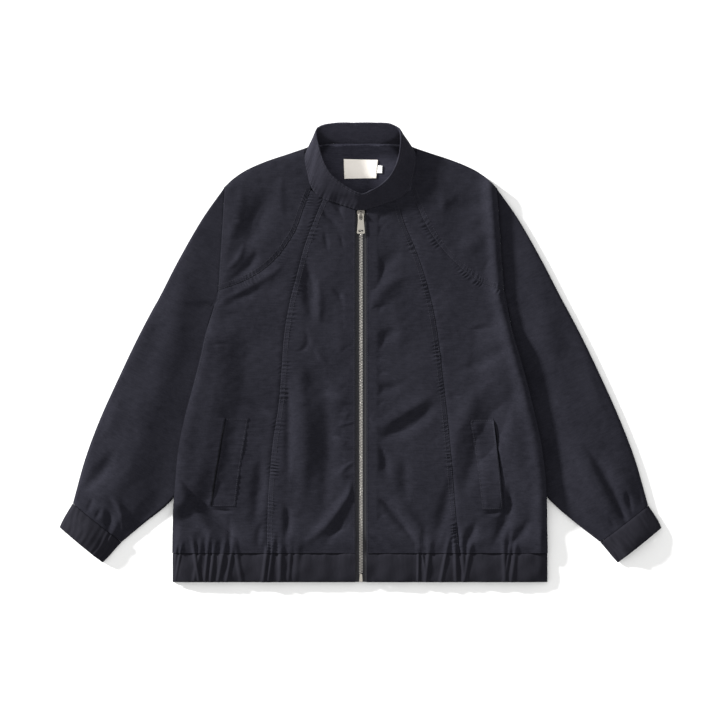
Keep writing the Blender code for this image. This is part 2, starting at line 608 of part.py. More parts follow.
def hem_places(side):
    """Places across a front hem band: the top and foot of each gather, and even steps between."""
    outer = SIDE_FRONT[side][-1].outer_x
    inner = ZIP_X + (FRONT_EDGE_OFFSET if side == "R" else -FRONT_EDGE_OFFSET)
    marks = {outer, inner}
    for cluster in GATHERS[side]:
        pitch = (cluster.x1 - cluster.x0) / cluster.count / 2
        marks.update(cluster.x0 + pitch * k for k in range(2 * cluster.count + 1))
    marks = sorted(marks)
    full = []
    for a, b in zip(marks, marks[1:]):
        parts = max(1, round((b - a) / HEM_STEP))
        full += [a + (b - a) * k / parts for k in range(parts)]
    return np.array(full + [marks[-1]])


def build_hem(side, finish):
    across = hem_places(side)
    sign = 1 if side == "L" else -1
    across[0] += 0.2
    across[-1] -= 0.2
    rows = []
    for v in HEM_ROWS:
        y = HEM_SEAM_Y - 0.5 + (HEM_Y - HEM_SEAM_Y + 0.5) * v
        outer = (across - SIDE_FRONT[side][-1].outer_x) * sign
        level = BACK_CLOTH + LAYER_GAP + FRONT_RISE * (1 - np.exp(-np.maximum(outer, 0) / ROLL_LENGTH))
        level = level + HEM_PUFF * math.sin(math.pi * v) * ramp(outer, 0, 14)
        level = level + gather_wave(across, side) * (1 - HEM_GATHER_FADE * v) * ramp(outer, 0, 8)
        near_zip = 1 - ramp(np.abs(across - ZIP_X), *NEAR_ZIP)
        least = BACK_CLOTH + LAYER_GAP + near_zip * (TAPE_Z + TAPE_THICKNESS - BACK_CLOTH)
        rows.append(np.column_stack([across, np.full(len(across), y), np.maximum(level, least)]))
    cloth_wall("hem_" + side, np.array(rows), FRONT_CLOTH, finish)


def build_hem_back(finish):
    across = np.linspace(SIDE_FRONT["L"][-1].outer_x + 0.3, SIDE_FRONT["R"][-1].outer_x - 0.3, HEM_BACK_PLACES)
    rows = [
        np.column_stack([across, np.full(len(across), y), np.zeros(len(across))])
        for y in (HEM_SEAM_Y - 0.5, 0.5 * (HEM_SEAM_Y + HEM_Y), HEM_Y)
    ]
    cloth_wall("hem_back", np.array(rows), BACK_CLOTH, finish)


def edge_insets(sections, inward):
    """How far along each ring the inner skin starts from its outer and its inner edge, for an even wall."""
    across = sections[:, 0:2] - sections[:, 2:4]
    across /= np.linalg.norm(across, axis=1, keepdims=True)
    insets = []
    for columns in ((0, 1), (2, 3)):
        run = np.gradient(sections[:, columns], axis=0)
        run /= np.linalg.norm(run, axis=1, keepdims=True)
        sine = np.abs(across[:, 0] * run[:, 1] - across[:, 1] * run[:, 0])
        insets.append(inward / np.maximum(sine, LEAST_SINE))
    return np.column_stack(insets)


def tube_ring(section, insets, sides, gap, wave, inward, level, bow):
    """Points round a flattened tube, first along its underside and then back over its top."""
    out, inn = np.array(section[0:2]), np.array(section[2:4])
    length = np.linalg.norm(out - inn)
    unit = (out - inn) / length
    half = SLEEVE_CLOTH + TUBE_EDGE_GAP / 2
    spread = 0.5 - 0.5 * np.cos(math.pi * np.linspace(TUBE_SPREAD, 1 - TUBE_SPREAD, sides))
    spread = (spread - spread[0]) / (spread[-1] - spread[0])
    places = TUBE_MARGIN + (length - 2 * TUBE_MARGIN) * spread
    if inward:
        places = np.clip(places, insets[1] + TUBE_INNER_MARGIN, length - insets[0] - TUBE_INNER_MARGIN)
    spots = [bow(inn + unit * place) for place in places]
    ring = [(x, y, inward) for x, y in spots]
    ring.append((*bow(inn + unit * (length - insets[0])), half))
    for t, (x, y) in zip(spread[::-1], spots[::-1]):
        free = float(ramp(abs(x) - by_side(x, body_edge_x(y)), -2, TUBE_FREE))
        full = max(math.sin(math.pi * max(t, 0.5)), 0.0) ** 0.5 * float(ramp(t, 0.0, 0.2))
        top = 2 * SLEEVE_CLOTH + TUBE_EDGE_GAP + wave(t)
        top += free * (gap * full + section[4] * math.sin(math.pi * t) ** 2)
        top += free * level(x, y) * ramp(t, 0.0, 0.12) * (1 - ramp(t, 0.88, 1.0))
        ring.append((x, y, top - inward))
    ring.append((*bow(inn + unit * insets[1]), half))
    return ring


def build_tube(name, sections, sides, gap, wave, level, bow, finish):
    """A flattened open tube from its rings: an outer skin, an inner skin and a rim at each end."""
    bm = bmesh.new()
    skins = []
    for inward in (0.0, SLEEVE_CLOTH):
        rings = []
        insets = edge_insets(sections, inward)
        for k, section in enumerate(sections):
            ring = tube_ring(section, insets[k], sides, gap, wave, inward, level, partial(bow, k=k))
            rings.append([bm.verts.new(point) for point in ring])
        skins.append(rings)
    count = len(skins[0][0])
    for rings in skins:
        for a, b in zip(rings, rings[1:]):
            for i in range(count):
                j = (i + 1) % count
                bm.faces.new((a[i], a[j], b[j], b[i]))
    for end in (0, -1):
        outer, inner = skins[0][end], skins[1][end]
        for i in range(count):
            j = (i + 1) % count
            bm.faces.new((outer[i], outer[j], inner[j], inner[i]))
    return add_object(name, bm, finish)


def build_sleeve(side, finish):
    sections = smooth_rows(SLEEVE[side], 2)
    sign = -1 if side == "L" else 1
    sections[0, 0] += sign * SLEEVE_SEAM_STEP
    foot, head = sections[0][[2, 3]].copy(), sections[0][[0, 1]].copy()
    foot_turn = foot[0] - float(table_x(arm_curve(side), foot[1])) - sign * SLEEVE_SEAM_STEP

    def bow(spot, k):
        """Bends the first rings to the armhole seam, and at its foot in under the body."""
        x, y = spot
        if not foot[1] < y < head[1]:
            return spot
        share = 1 - float(ramp(k, 0, SLEEVE_BENT_RINGS))
        chord = foot[0] + (head[0] - foot[0]) * (y - foot[1]) / (head[1] - foot[1])
        seam = float(table_x(arm_curve(side), y)) + sign * SLEEVE_SEAM_STEP
        seam += foot_turn * max(0.0, (SLEEVE_TURN_Y - y) / (SLEEVE_TURN_Y - foot[1])) ** 2
        return (x + share * (seam - chord), y)

    def flat(t):
        return 0.0

    def level(x, y):
        return float(folds_at(np.array(x), np.array(y), SLEEVE_FOLDS))

    build_tube("sleeve_" + side, sections, SLEEVE_SIDES, TUBE_GAP, flat, level, bow, finish)


def build_cuff(side, finish):
    sections = smooth_rows(CUFF[side], 1)

    def wave(t):
        """Gathers, more of them towards the inner edge."""
        strength = 1 - (1 - CUFF_OUTER_SHARE) * t
        turns = CUFF_GATHERS * t**CUFF_CROWDING + CUFF_PHASE[side]
        return CUFF_GATHER_HEIGHT * strength * (1 + math.cos(2 * math.pi * turns))

    def same(spot, k):
        return spot

    def none(x, y):
        return 0.0

    build_tube("cuff_" + side, sections, 2 * CUFF_GATHERS + 1, CUFF_GAP, wave, none, same, finish)


def build_collar(finish):
    """The stand collar: a wall that leans inwards from the neck seam to its top edge."""
    rows = smooth_rows(COLLAR, 2)
    base = rows[:, :2].copy()
    tangent = np.gradient(base, axis=0)
    tangent /= np.linalg.norm(tangent, axis=1, keepdims=True)
    inward = np.column_stack([tangent[:, 1], -tangent[:, 0]])
    front = ramp(-base[:, 1], -321, -312)
    base += inward * (COLLAR_SHIFT * front)[:, None]
    seam_z = front_level(rows[:, 0], rows[:, 1]) + FRONT_CLOTH / 2
    base_z = np.maximum(COLLAR_BACK_Z, seam_z * front)
    points = []
    for k in range(COLLAR_ROWS):
        v = k / (COLLAR_ROWS - 1)
        spot = base + (rows[:, 2:4] - base) * v
        rise = v**COLLAR_RISE
        points.append(np.column_stack([spot, base_z + (rows[:, 4] - base_z) * rise]))
    points = np.array(points)
    along = np.gradient(points, axis=1)
    up = np.gradient(points, axis=0)
    normal = np.cross(along, up)
    normal /= np.linalg.norm(normal, axis=2, keepdims=True)
    outer, inner = points - normal * COLLAR_CLOTH / 2, points + normal * COLLAR_CLOTH / 2
    bm = bmesh.new()
    skins = [[[bm.verts.new(p) for p in row] for row in skin] for skin in (outer, inner)]
    columns = points.shape[1]
    for skin in skins:
        for a, b in zip(skin, skin[1:]):
            for i in range(columns - 1):
                bm.faces.new((a[i], a[i + 1], b[i + 1], b[i]))
    outside, inside = skins
    for row in (0, -1):
        for i in range(columns - 1):
            bm.faces.new((outside[row][i], outside[row][i + 1], inside[row][i + 1], inside[row][i]))
    for column in (0, -1):
        for k in range(COLLAR_ROWS - 1):
            bm.faces.new((outside[k][column], outside[k + 1][column], inside[k + 1][column], inside[k][column]))
    return add_object("collar", bm, finish)


def box(bm, x0, x1, y0, y1, z0, z1):
    made = bmesh.ops.create_cube(bm, size=1)["verts"]
    for vert in made:
        vert.co = (
            x0 + (x1 - x0) * (vert.co.x + 0.5),
            y0 + (y1 - y0) * (vert.co.y + 0.5),
            z0 + (z1 - z0) * (vert.co.z + 0.5),
        )
    return made


def add_box(name, finish, bevel, *bounds):
    bm = bmesh.new()
    box(bm, *bounds)
    if bevel:
        bmesh.ops.bevel(bm, geom=bm.edges[:], offset=bevel, segments=2, affect="EDGES", profile=0.5)
    return add_object(name, bm, finish, smooth=False)


def build_zip(tape_finish, metal):
    half = CHAIN_WIDTH / 2
    for side, sign in (("L", -1), ("R", 1)):
        a = ZIP_X + sign * (half + SEAM_GAP)
        b = ZIP_X + sign * (half + SEAM_GAP + TAPE_WIDTH)
        add_box("zip_tape_" + side, tape_finish, 0, min(a, b), max(a, b), HEM_Y + 1, ZIP_TOP_Y, TAPE_Z,
                TAPE_Z + TAPE_THICKNESS)
    add_box("zip_chain", metal, 0.5, ZIP_X - half, ZIP_X + half, CHAIN_END_Y, CHAIN_TOP_Y,
            CHAIN_BOTTOM, CHAIN_TOP)
    add_box("zip_box", metal, 0.4, ZIP_X - half, ZIP_X + half, HEM_Y + 0.6, CHAIN_END_Y - SEAM_GAP,
            CHAIN_BOTTOM - 0.6, CHAIN_TOP + 0.5)


def outline_plate(points, low, high, upright=False):
    """A plate of (x, y) points between two heights, or upright, of (y, z) points between two x."""
    bm = bmesh.new()
    face = bm.faces.new([bm.verts.new((low, *p) if upright else (*p, low)) for p in points])
    moved = bmesh.ops.extrude_face_region(bm, geom=[face])["geom"]
    run = (high - low, 0, 0) if upright else (0, 0, high - low)
    bmesh.ops.translate(bm, vec=run, verts=[v for v in moved if isinstance(v, bmesh.types.BMVert)])
    return bm


def joined(name, parts, finish):
    """One body from several overlapping meshes, united by a Boolean."""
    made = add_object(name, parts[0], finish, smooth=False)
    for k, part in enumerate(parts[1:]):
        other = add_object(name + "_part", part, finish, smooth=False)
        other.hide_render = True
        other.display_type = "WIRE"
        modifier = made.modifiers.new("join" + str(k), "BOOLEAN")
        modifier.operation = "UNION"
        modifier.object = other
    return made


def build_slider(metal):
    """Two plates on a wedge, and the bail that carries the pull."""
    half = SLIDER_WIDTH / 2
    top, bottom = SLIDER_TOP_Y, SLIDER_TOP_Y - SLIDER_LENGTH
    right = [(half - SLIDER_CUT, top), (half, top - SLIDER_CORNER), (half, top - SLIDER_SHOULDER),
             (half - SLIDER_TAPER, bottom)]
    outline = [(ZIP_X + x, y) for x, y in right] + [(ZIP_X - x, y) for x, y in reversed(right)]
    lower = outline_plate(outline, LOWER_PLATE_Z, LOWER_PLATE_Z + PLATE_THICKNESS)
    upper = outline_plate(outline, UPPER_PLATE_Z, UPPER_PLATE_Z + PLATE_THICKNESS)
    wedge = bmesh.new()
    box(wedge, ZIP_X - WEDGE_HALF, ZIP_X + WEDGE_HALF, CHAIN_TOP_Y + 0.6, top - 0.4,
        LOWER_PLATE_Z + 0.4, UPPER_PLATE_Z + 0.5)
    roof = BAIL_TOP_Z - BAIL_ROOF
    arch = [(BAIL_NEAR_Y - BAIL_POST, BAIL_FOOT_Z), (BAIL_NEAR_Y - BAIL_POST, BAIL_TOP_Z),
            (BAIL_FAR_Y, BAIL_TOP_Z), (BAIL_FAR_Y, BAIL_FOOT_Z), (BAIL_FAR_Y - BAIL_POST, BAIL_FOOT_Z),
            (BAIL_FAR_Y - BAIL_POST, roof), (BAIL_NEAR_Y, roof), (BAIL_NEAR_Y, BAIL_FOOT_Z)]
    bail = outline_plate(arch, ZIP_X - BAIL_WIDTH / 2, ZIP_X + BAIL_WIDTH / 2, upright=True)
    joined("slider", [lower, wedge, upper, bail], metal)


def build_pull(metal):
    """The pull tab, its origin on the hinge: a bar under the bail, a window and a flared plate."""
    half = TAB_THICKNESS / 2
    w0, w1 = TAB_TOP_WIDTH / 2, TAB_END_WIDTH / 2
    start = TAB_BAR / 2
    right = [(w0 - TAB_TOP_CUT, start), (w0, start - TAB_TOP_CORNER), (w0, -WINDOW_LENGTH - start),
             (w1, -TAB_LENGTH + TAB_END_CUT), (w1 - TAB_END_CUT, -TAB_LENGTH)]
    body = outline_plate(right + [(-x, y) for x, y in reversed(right)], -half, half)
    window = bmesh.new()
    loop = []
    for k in range(WINDOW_SIDES):
        angle = 2 * math.pi * k / WINDOW_SIDES
        x = math.copysign(abs(math.cos(angle)) ** WINDOW_SQUARENESS, math.cos(angle)) * WINDOW_WIDTH / 2
        y = math.copysign(abs(math.sin(angle)) ** WINDOW_SQUARENESS, math.sin(angle)) * WINDOW_LENGTH / 2
        loop.append(window.verts.new((x, y - start - WINDOW_LENGTH / 2, -2)))
    face = window.faces.new(loop)
    for vert in bmesh.ops.extrude_face_region(window, geom=[face])["geom"]:
        if isinstance(vert, bmesh.types.BMVert):
            vert.co.z += 4
    slot = bmesh.new()
    box(slot, -SLOT_WIDTH / 2, SLOT_WIDTH / 2, -SLOT_AT - SLOT_LENGTH, -SLOT_AT, -2, 2)
    made = add_object("pull_tab", body, metal, smooth=False)
    for k, cutter in enumerate((window, slot)):
        other = add_object("pull_cut_" + str(k), cutter, metal, smooth=False)
        other.hide_render = True
        other.display_type = "WIRE"
        other.location = (ZIP_X * MM, HINGE_Y * MM, HINGE_Z * MM)
        modifier = made.modifiers.new("cut" + str(k), "BOOLEAN")
        modifier.operation = "DIFFERENCE"
        modifier.object = other
    made.location = (ZIP_X * MM, HINGE_Y * MM, HINGE_Z * MM)
    return made


def build_label(cloth):
    """The woven neck label and the small tab beside it."""
    label = np.array([[(-25, 269.5), (0, 269.8), (24.5, 270.5)], [(-26, 300), (0, 300), (27, 298.6)]], float)
    tab = np.array([[(25.9, 278.5), (33.4, 278.2)], [(27.1, 290), (34.0, 289.6)]], float)
    for name, plan in (("neck_label", label), ("size_tab", tab)):
        height = np.full(plan.shape[:2] + (1,), LABEL_Z)
        cloth_wall(name, np.concatenate([plan, height], axis=2), LABEL_THICKNESS, cloth)


def main():
    for old in list(bpy.data.objects):
        bpy.data.objects.remove(old, do_unlink=True)
    twill = material("navy_twill", (0.024, 0.024, 0.032), 0.86)
    woven = material("label_weave", (0.72, 0.70, 0.66), 0.8)
    tape = material("zip_tape", (0.11, 0.11, 0.12), 0.85)
    metal = material("nickel", (0.72, 0.69, 0.64), 0.3, 1.0)
    build_back(twill)
    build_hem_back(twill)
    for side in ("L", "R"):
        build_yoke(side, twill)
        build_side_front(side, twill)
        build_centre_front(side, twill)
        build_hem(side, twill)
        build_sleeve(side, twill)
        build_cuff(side, twill)
    build_collar(twill)
    build_zip(tape, metal)
    build_slider(metal)
    build_pull(metal)
    build_label(woven)


main()
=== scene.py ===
"""Looks of a dark cotton bomber jacket that lies flat with its front up.

Each cloth piece is a thin shell with its folds, gathers, puckers and topstitching, and the zip has its
teeth, slider and pull. Lengths in the tables and fields are millimetres, and meshes are made in metres.
"""

from __future__ import annotations

import logging
import math
from dataclasses import dataclass, field
from enum import Enum
from functools import partial
from typing import Any, Callable, NamedTuple, Sequence

import bpy
import numpy as np
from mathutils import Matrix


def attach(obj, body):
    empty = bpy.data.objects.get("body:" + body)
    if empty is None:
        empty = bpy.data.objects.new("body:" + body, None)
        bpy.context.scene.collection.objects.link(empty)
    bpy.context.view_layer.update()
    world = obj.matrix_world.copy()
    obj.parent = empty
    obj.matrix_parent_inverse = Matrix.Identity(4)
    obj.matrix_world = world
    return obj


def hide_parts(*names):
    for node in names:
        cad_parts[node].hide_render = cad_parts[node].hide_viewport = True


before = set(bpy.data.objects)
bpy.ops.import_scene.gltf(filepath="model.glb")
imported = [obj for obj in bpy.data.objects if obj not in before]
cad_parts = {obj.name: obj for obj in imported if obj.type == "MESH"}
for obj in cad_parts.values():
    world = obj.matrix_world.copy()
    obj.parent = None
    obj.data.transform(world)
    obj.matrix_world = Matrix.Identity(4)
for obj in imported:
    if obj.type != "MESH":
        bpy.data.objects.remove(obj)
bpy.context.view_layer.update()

LOG = logging.getLogger("jacket")
MM = 0.001
Array = np.ndarray
Piece = bpy.types.Object
Material = bpy.types.Material


class Side(Enum):
    """The viewer's left and right half of the jacket."""

    LEFT = "L"
    RIGHT = "R"

    @property
    def sign(self) -> int:
        """-1 on the left, 1 on the right."""
        return -1 if self is Side.LEFT else 1


class Body(Enum):
    """The rigid bodies of the frame."""

    GARMENT = "garment"
    PULL = "pull"


class Slot(Enum):
    """Material slots of the record."""

    TWILL = "twill"
    LABEL = "label"
    TAPE = "tape"
    NICKEL = "nickel"


class SeamPoint(NamedTuple):
    """A point of a seam."""

    x: float
    y: float


class Section(NamedTuple):
    """A row of a side front, from the princess seam to its outer edge."""

    princess_y: float
    outer_x: float
    outer_y: float


class FrontSection(NamedTuple):
    """A row of a centre front, from the princess seam to the front edge."""

    princess_y: float
    edge_y: float


class TubeSection(NamedTuple):
    """A ring of a sleeve or cuff, from its outer to its inner edge."""

    out_x: float
    out_y: float
    in_x: float
    in_y: float
    puff: float


class NeckSection(NamedTuple):
    """A section of the collar, from the neck seam to its top edge."""

    neck_x: float
    neck_y: float
    top_x: float
    top_y: float
    top_z: float


class Fold(NamedTuple):
    """A ridge, or a trough where height is negative, along a curve through three points."""

    x0: float
    y0: float
    x1: float
    y1: float
    x2: float
    y2: float
    width: float
    height: float


class Cluster(NamedTuple):
    """Gathers between two places of the hem seam."""

    x0: float
    x1: float
    count: int
    height: float


class WeltRow(NamedTuple):
    """A row of a pocket welt."""

    y: float
    inner_x: float
    outer_x: float


PRINCESS: dict[Side, list[SeamPoint]] = {
    Side.LEFT: [SeamPoint(*p) for p in (
        (-58.5, 237.5), (-72, 205), (-87, 165), (-99, 120), (-110.5, 75), (-118.5, 28),
        (-122.5, -25), (-127, -80), (-135.5, -135), (-140.5, -185), (-144, -240), (-145, -310))],
    Side.RIGHT: [SeamPoint(*p) for p in (
        (57, 237.5), (68, 201), (85, 160), (99, 120), (111, 75), (119.5, 28),
        (126, -25), (132.5, -80), (138, -135), (142.5, -185), (147, -240), (153, -310))],
}

SIDE_FRONT: dict[Side, list[Section]] = {
    Side.LEFT: [Section(*s) for s in (
        (237.5, -77, 252), (220, -88, 223), (190, -101, 188), (160, -125, 152), (140, -153, 126),
        (124, -184, 109), (108, -220.5, 96), (76, -227, 72), (32, -239.5, 30), (-8, -248, -8),
        (-50, -258.5, -50), (-98, -270.5, -95), (-147, -281, -145), (-200, -286.5, -200),
        (-257, -290, -257), (-310, -291, -310))],
    Side.RIGHT: [Section(*s) for s in (
        (237.5, 78, 252), (218, 90, 221), (188, 108, 186), (160, 131, 155), (140, 160, 127),
        (124, 190, 107), (108, 222.5, 96), (74, 228, 70), (30, 236.5, 28), (-8, 247, -8),
        (-50, 258.5, -50), (-97, 269.5, -95), (-147, 280, -145), (-200, 286.5, -200),
        (-257, 288.5, -257), (-310, 289.5, -310))],
}
YOKE_CORNER = 6  # the row of SIDE_FRONT at which the yoke seam meets the armhole

CENTRE_FRONT: list[FrontSection] = [FrontSection(*s) for s in (
    (237.5, 220.5), (215, 203), (180, 174), (140, 138), (90, 90), (35, 35), (-25, -25), (-90, -90),
    (-150, -150), (-205, -205), (-260, -260), (-310, -310))]

SHOULDER: dict[Side, list[SeamPoint]] = {
    Side.LEFT: [SeamPoint(*p) for p in (
        (-88, 316), (-113, 307.5), (-139, 299), (-162, 290), (-181, 280.5), (-197.5, 269), (-210.5, 256.5))],
    Side.RIGHT: [SeamPoint(*p) for p in (
        (88, 316), (113, 307.5), (139, 299), (162, 290), (181, 280.5), (197.5, 268), (211, 254.5))],
}

SLEEVE: dict[Side, list[TubeSection]] = {
    Side.LEFT: [TubeSection(*s) for s in (
        (-210.5, 256.5, -236, -34, 0.2), (-247, 206, -244, -74, 1.0), (-283, 144, -249, -106, 1.5),
        (-314, 82, -254, -138, 1.6), (-346.5, 20, -262, -172, 1.6), (-376, -42, -277, -208, 2.0),
        (-404, -104, -300, -236, 2.6), (-427, -166, -335, -264, 3.0), (-445.5, -233, -370, -293, 2.0))],
    Side.RIGHT: [TubeSection(*s) for s in (
        (211, 254.5, 236, -34, 0.2), (245.5, 206, 244, -74, 1.0), (281, 144, 249, -106, 1.5),
        (312.5, 82, 254, -138, 1.6), (345, 20, 262, -172, 1.6), (374.5, -42, 277, -208, 2.0),
        (402, -104, 300, -235, 2.6), (425.5, -166, 335, -265, 3.0), (445.5, -236, 371, -293, 2.0))],
}

CUFF: dict[Side, list[TubeSection]] = {
    Side.LEFT: [TubeSection(*s) for s in (
        (-445.9, -233.6, -370.4, -293.6, 2.0), (-453.5, -246, -380, -304, 4.0),
        (-461, -259, -389.5, -315, 4.4), (-466.2, -270, -399.5, -325, 2.2))],
    Side.RIGHT: [TubeSection(*s) for s in (
        (445.9, -236.6, 371.4, -293.6, 2.0), (453.5, -248, 380.5, -304, 4.0),
        (461, -260, 389.5, -315, 4.4), (466.2, -271, 398.5, -325, 2.2))],
}

COLLAR: list[NeckSection] = [NeckSection(*s) for s in (
    (-6.5, 220.5, 1.0, 244.5, 21), (-22, 225.5, -11, 249.5, 22), (-40, 231.5, -26, 259, 23),
    (-58.5, 237.5, -42.5, 272, 24), (-71, 246, -53, 287, 25), (-79, 262, -60, 304, 25.5),
    (-84, 284, -65, 322, 25), (-86.5, 301, -67.5, 336, 24.5), (-85.5, 312, -66, 346, 24),
    (-76, 319.5, -56, 351, 24), (-58, 323, -42, 353.6, 24), (-30, 324, -22, 354.1, 24),
    (0, 324, 0, 354.1, 24), (30, 324, 22, 354.1, 24), (58, 323, 41, 353.4, 24), (76, 319.5, 53, 350, 24),
    (85, 312, 60.5, 343, 24), (86.5, 301, 62, 331, 24.5), (84, 284, 61, 315, 25), (79, 262, 58, 299, 25.5),
    (71, 246, 52, 283, 25), (58.5, 237.5, 41.5, 267.5, 24), (41, 231.5, 27.5, 256, 23),
    (24, 225.5, 15, 249.5, 22), (8.5, 220.5, 8.2, 246, 21))]

BACK_NECK: list[SeamPoint] = [
    SeamPoint(*p) for p in ((-76, 320.5), (-58, 323.5), (0, 325), (58, 323.5), (76, 320.5))]

WELT: dict[Side, list[WeltRow]] = {
    Side.LEFT: [WeltRow(*w) for w in (
        (-101, -173, -208), (-145, -181, -215.5), (-190, -188, -223), (-238, -194, -231))],
    Side.RIGHT: [WeltRow(*w) for w in (
        (-103, 169, 205.5), (-145, 176, 210.5), (-190, 182, 216), (-243, 188, 221))],
}

# Main folds of the fronts
FOLDS: list[Fold] = [Fold(*f) for f in (
    (-143, 256, -158, 208, -188, 148, 28, -3.8), (-182, 268, -190, 210, -207, 158, 18, 2.0),
    (-180, 172, -190, 145, -211, 127, 9, 1.8), (-160, 164, -172, 135, -206, 110, 13, -2.4),
    (-117, 141, -159, 107, -218, 82, 13, 2.4), (-138, 118, -165, 98, -214, 70, 13, -1.6),
    (-84, 152, -79, 100, -75, 42, 18, -4.0), (-66, 114, -64, 75, -64, 40, 11, 1.8),
    (-86, -19, -66, -50, -32, -67, 22, -3.0), (-60, -40, -50, -151, -60, -255, 24, -3.4),
    (-96, -20, -88, -130, -92, -245, 28, 4.6), (-113, -30, -111, -130, -113, -220, 10, -1.8),
    (-7, -189, -35, -247, -94, -298, 16, 4.6), (-5, -210, -24, -251, -60, -303, 16, -3.8),
    (-118, -228, -112, -262, -120, -300, 10, -3.2), (-282, -190, -230, -252, -172, -303, 18, -4.0),
    (-272, -226, -238, -272, -216, -302, 16, 2.6), (-200, -10, -196, -60, -205, -95, 34, 1.8),
    (-155, -160, -157, -212, -166, -270, 18, -3.2), (-184, -70, -160, -84, -140, -99, 10, -1.8),
    (16, 90, 33, 131, 66, 158, 20, -3.0), (14, 60, 40, 100, 78, 120, 18, 2.4),
    (12, 0, 36, 23, 66, 36, 16, -2.6), (12, -62, 40, -56, 66, -48, 14, -2.2),
    (24, -137, 74, -110, 126, -74, 20, -4.4), (20, -118, 70, -92, 118, -58, 20, 2.4),
    (8, -146, 32, -162, 40, -204, 16, -3.8), (26, -223, 58, -257, 92, -305, 13, -3.0),
    (40, -222, 72, -250, 108, -296, 16, 3.0), (150, -30, 198, -8, 234, 20, 18, -2.0),
    (248, -44, 202, -122, 150, -228, 32, -5.4), (226, -34, 166, -90, 144, -182, 24, 2.4),
    (228, -200, 227, -250, 200, -304, 15, -3.8), (178, -262, 171, -282, 160, -300, 14, -3.6),
    (262, -255, 247, -282, 226, -300, 14, -3.0), (66, -158, 69, -196, 70, -234, 16, -2.2),
    (140, -190, 131, -242, 112, -302, 17, -2.8), (205, 240, 160, 225, 130, 232, 26, -2.4),
    (200, 200, 175, 170, 150, 160, 24, 2.0))]

# Smaller creases of the fronts
CREASES: list[Fold] = [Fold(*f) for f in (
    (26, -223, 58, -256, 92, -305, 6, -2.4), (-282, -190, -230, -252, -172, -303, 5, -3.0),
    (-70, 10, -60, -10, -40, -24, 7, 1.2), (-46, -60, -34, -72, -8, -76, 12, 2.0),
    (-42, -128, -30, -140, -8, -148, 12, 1.8), (-40, -176, -28, -186, -8, -190, 11, 1.6),
    (-56, 190, -53, 172, -50, 155, 6, -1.2), (-46, 234, -28, 218, -8, 196, 8, -2.2),
    (-34, 186, -22, 164, -7, 146, 7, -1.8), (-48, 106, -25, 82, -7, 66, 8, -1.8),
    (-234, -242, -213, -244, -192, -246, 4.5, -2.6), (188, -248, 205, -248, 222, -246, 5, -2.4),
    (134, -58, 146, -66, 158, -66, 5, -0.9), (-60, 224, -50, 208, -32, 194, 7, -1.8),
    (-50, 212, -38, 198, -20, 184, 6, -1.4),
    (20, 205, 34, 212, 50, 222, 7, -1.0), (10, 178, 24, 186, 42, 204, 7, -1.0),
    (10, 120, 22, 128, 36, 142, 6, -1.0), (10, -24, 26, -30, 46, -30, 6, -0.9),
    (-6, 10, -18, 6, -34, -2, 6, -0.9), (-5, -90, -20, -88, -36, -96, 6, -1.1),
    (-5, -104, -22, -110, -38, -112, 6, 1.0), (-6, -168, -22, -176, -34, -192, 7, 1.2),
    (-89, 43, -83, 12, -105, 1, 7, -1.2), (-5, -19, -16, -21, -29, -25, 5, -0.9),
    (-5, -52, -19, -53, -32, -59, 6, -1.0), (-5, -117, -18, -121, -32, -131, 6, -1.0),
    (-5, -151, -16, -163, -30, -176, 7, -1.2), (-5, -130, -15, -136, -26, -146, 5, -0.7),
    (12, 63, 26, 68, 43, 76, 7, -1.2), (12, -14, 24, -10, 38, -2, 6, -0.9),
    (10, -81, 26, -78, 40, -75, 6, -1.1), (15, -256, 27, -253, 40, -250, 6, -1.0),
    (9, -275, 30, -293, 55, -306, 7, -1.3), (170, 35, 190, 38, 210, 40, 7, -1.0),
    (-210, 60, -196, 58, -182, 52, 6, -0.7), (-232, 10, -214, 14, -198, 12, 7, -0.8),
    (210, 150, 198, 140, 190, 122, 7, -0.9), (214, 180, 200, 176, 186, 180, 7, -0.8),
    (-205, 185, -192, 176, -180, 178, 6, -0.8), (-207, 215, -196, 206, -186, 208, 6, -0.8),
    (-120, 275, -124, 240, -118, 205, 12, 1.0), (118, 280, 128, 240, 122, 205, 14, 1.0),
    (-10, -80, -22, -96, -30, -118, 8, 0.8), (14, -100, 24, -116, 28, -132, 8, 0.8),
    (-40, 60, -30, 20, -34, -20, 16, 0.9), (48, 90, 60, 40, 54, -5, 18, 0.9),
    (-150, -262, -158, -282, -156, -304, 9, -1.4), (-246, -268, -243, -286, -247, -304, 9, -1.6),
    (-204, -250, -202, -280, -207, -304, 8, -1.4), (100, -268, 98, -286, 102, -305, 8, -1.5),
    (148, -262, 150, -282, 146, -305, 9, -1.5), (232, -268, 230, -288, 234, -305, 8, -1.2))]

# Main folds of the sleeves
SLEEVE_FOLDS: list[Fold] = [Fold(*f) for f in (
    (342, -138, 383, -200, 424, -296, 13, -3.8), (322, -150, 366, -206, 402, -292, 18, 1.6),
    (376, -150, 404, -190, 436, -236, 18, 1.6), (-380, -148, -400, -184, -430, -210, 19, -3.6),
    (-396, -240, -388, -258, -392, -284, 12, -3.4), (-388, -222, -371, -244, -368, -282, 9, 3.0),
    (-428, -214, -404, -220, -388, -236, 15, 2.2), (-345, -150, -372, -200, -398, -246, 24, 1.6),
    (262, 120, 284, 40, 300, -60, 34, 1.6), (300, 60, 322, -20, 338, -90, 30, -1.4),
    (-264, 130, -280, 60, -290, -40, 34, 1.6), (-310, 50, -326, -20, -330, -90, 30, -1.4),
    (-370, -60, -388, -100, -404, -140, 26, 1.4), (352, -20, 372, -70, 388, -120, 28, 1.6))]

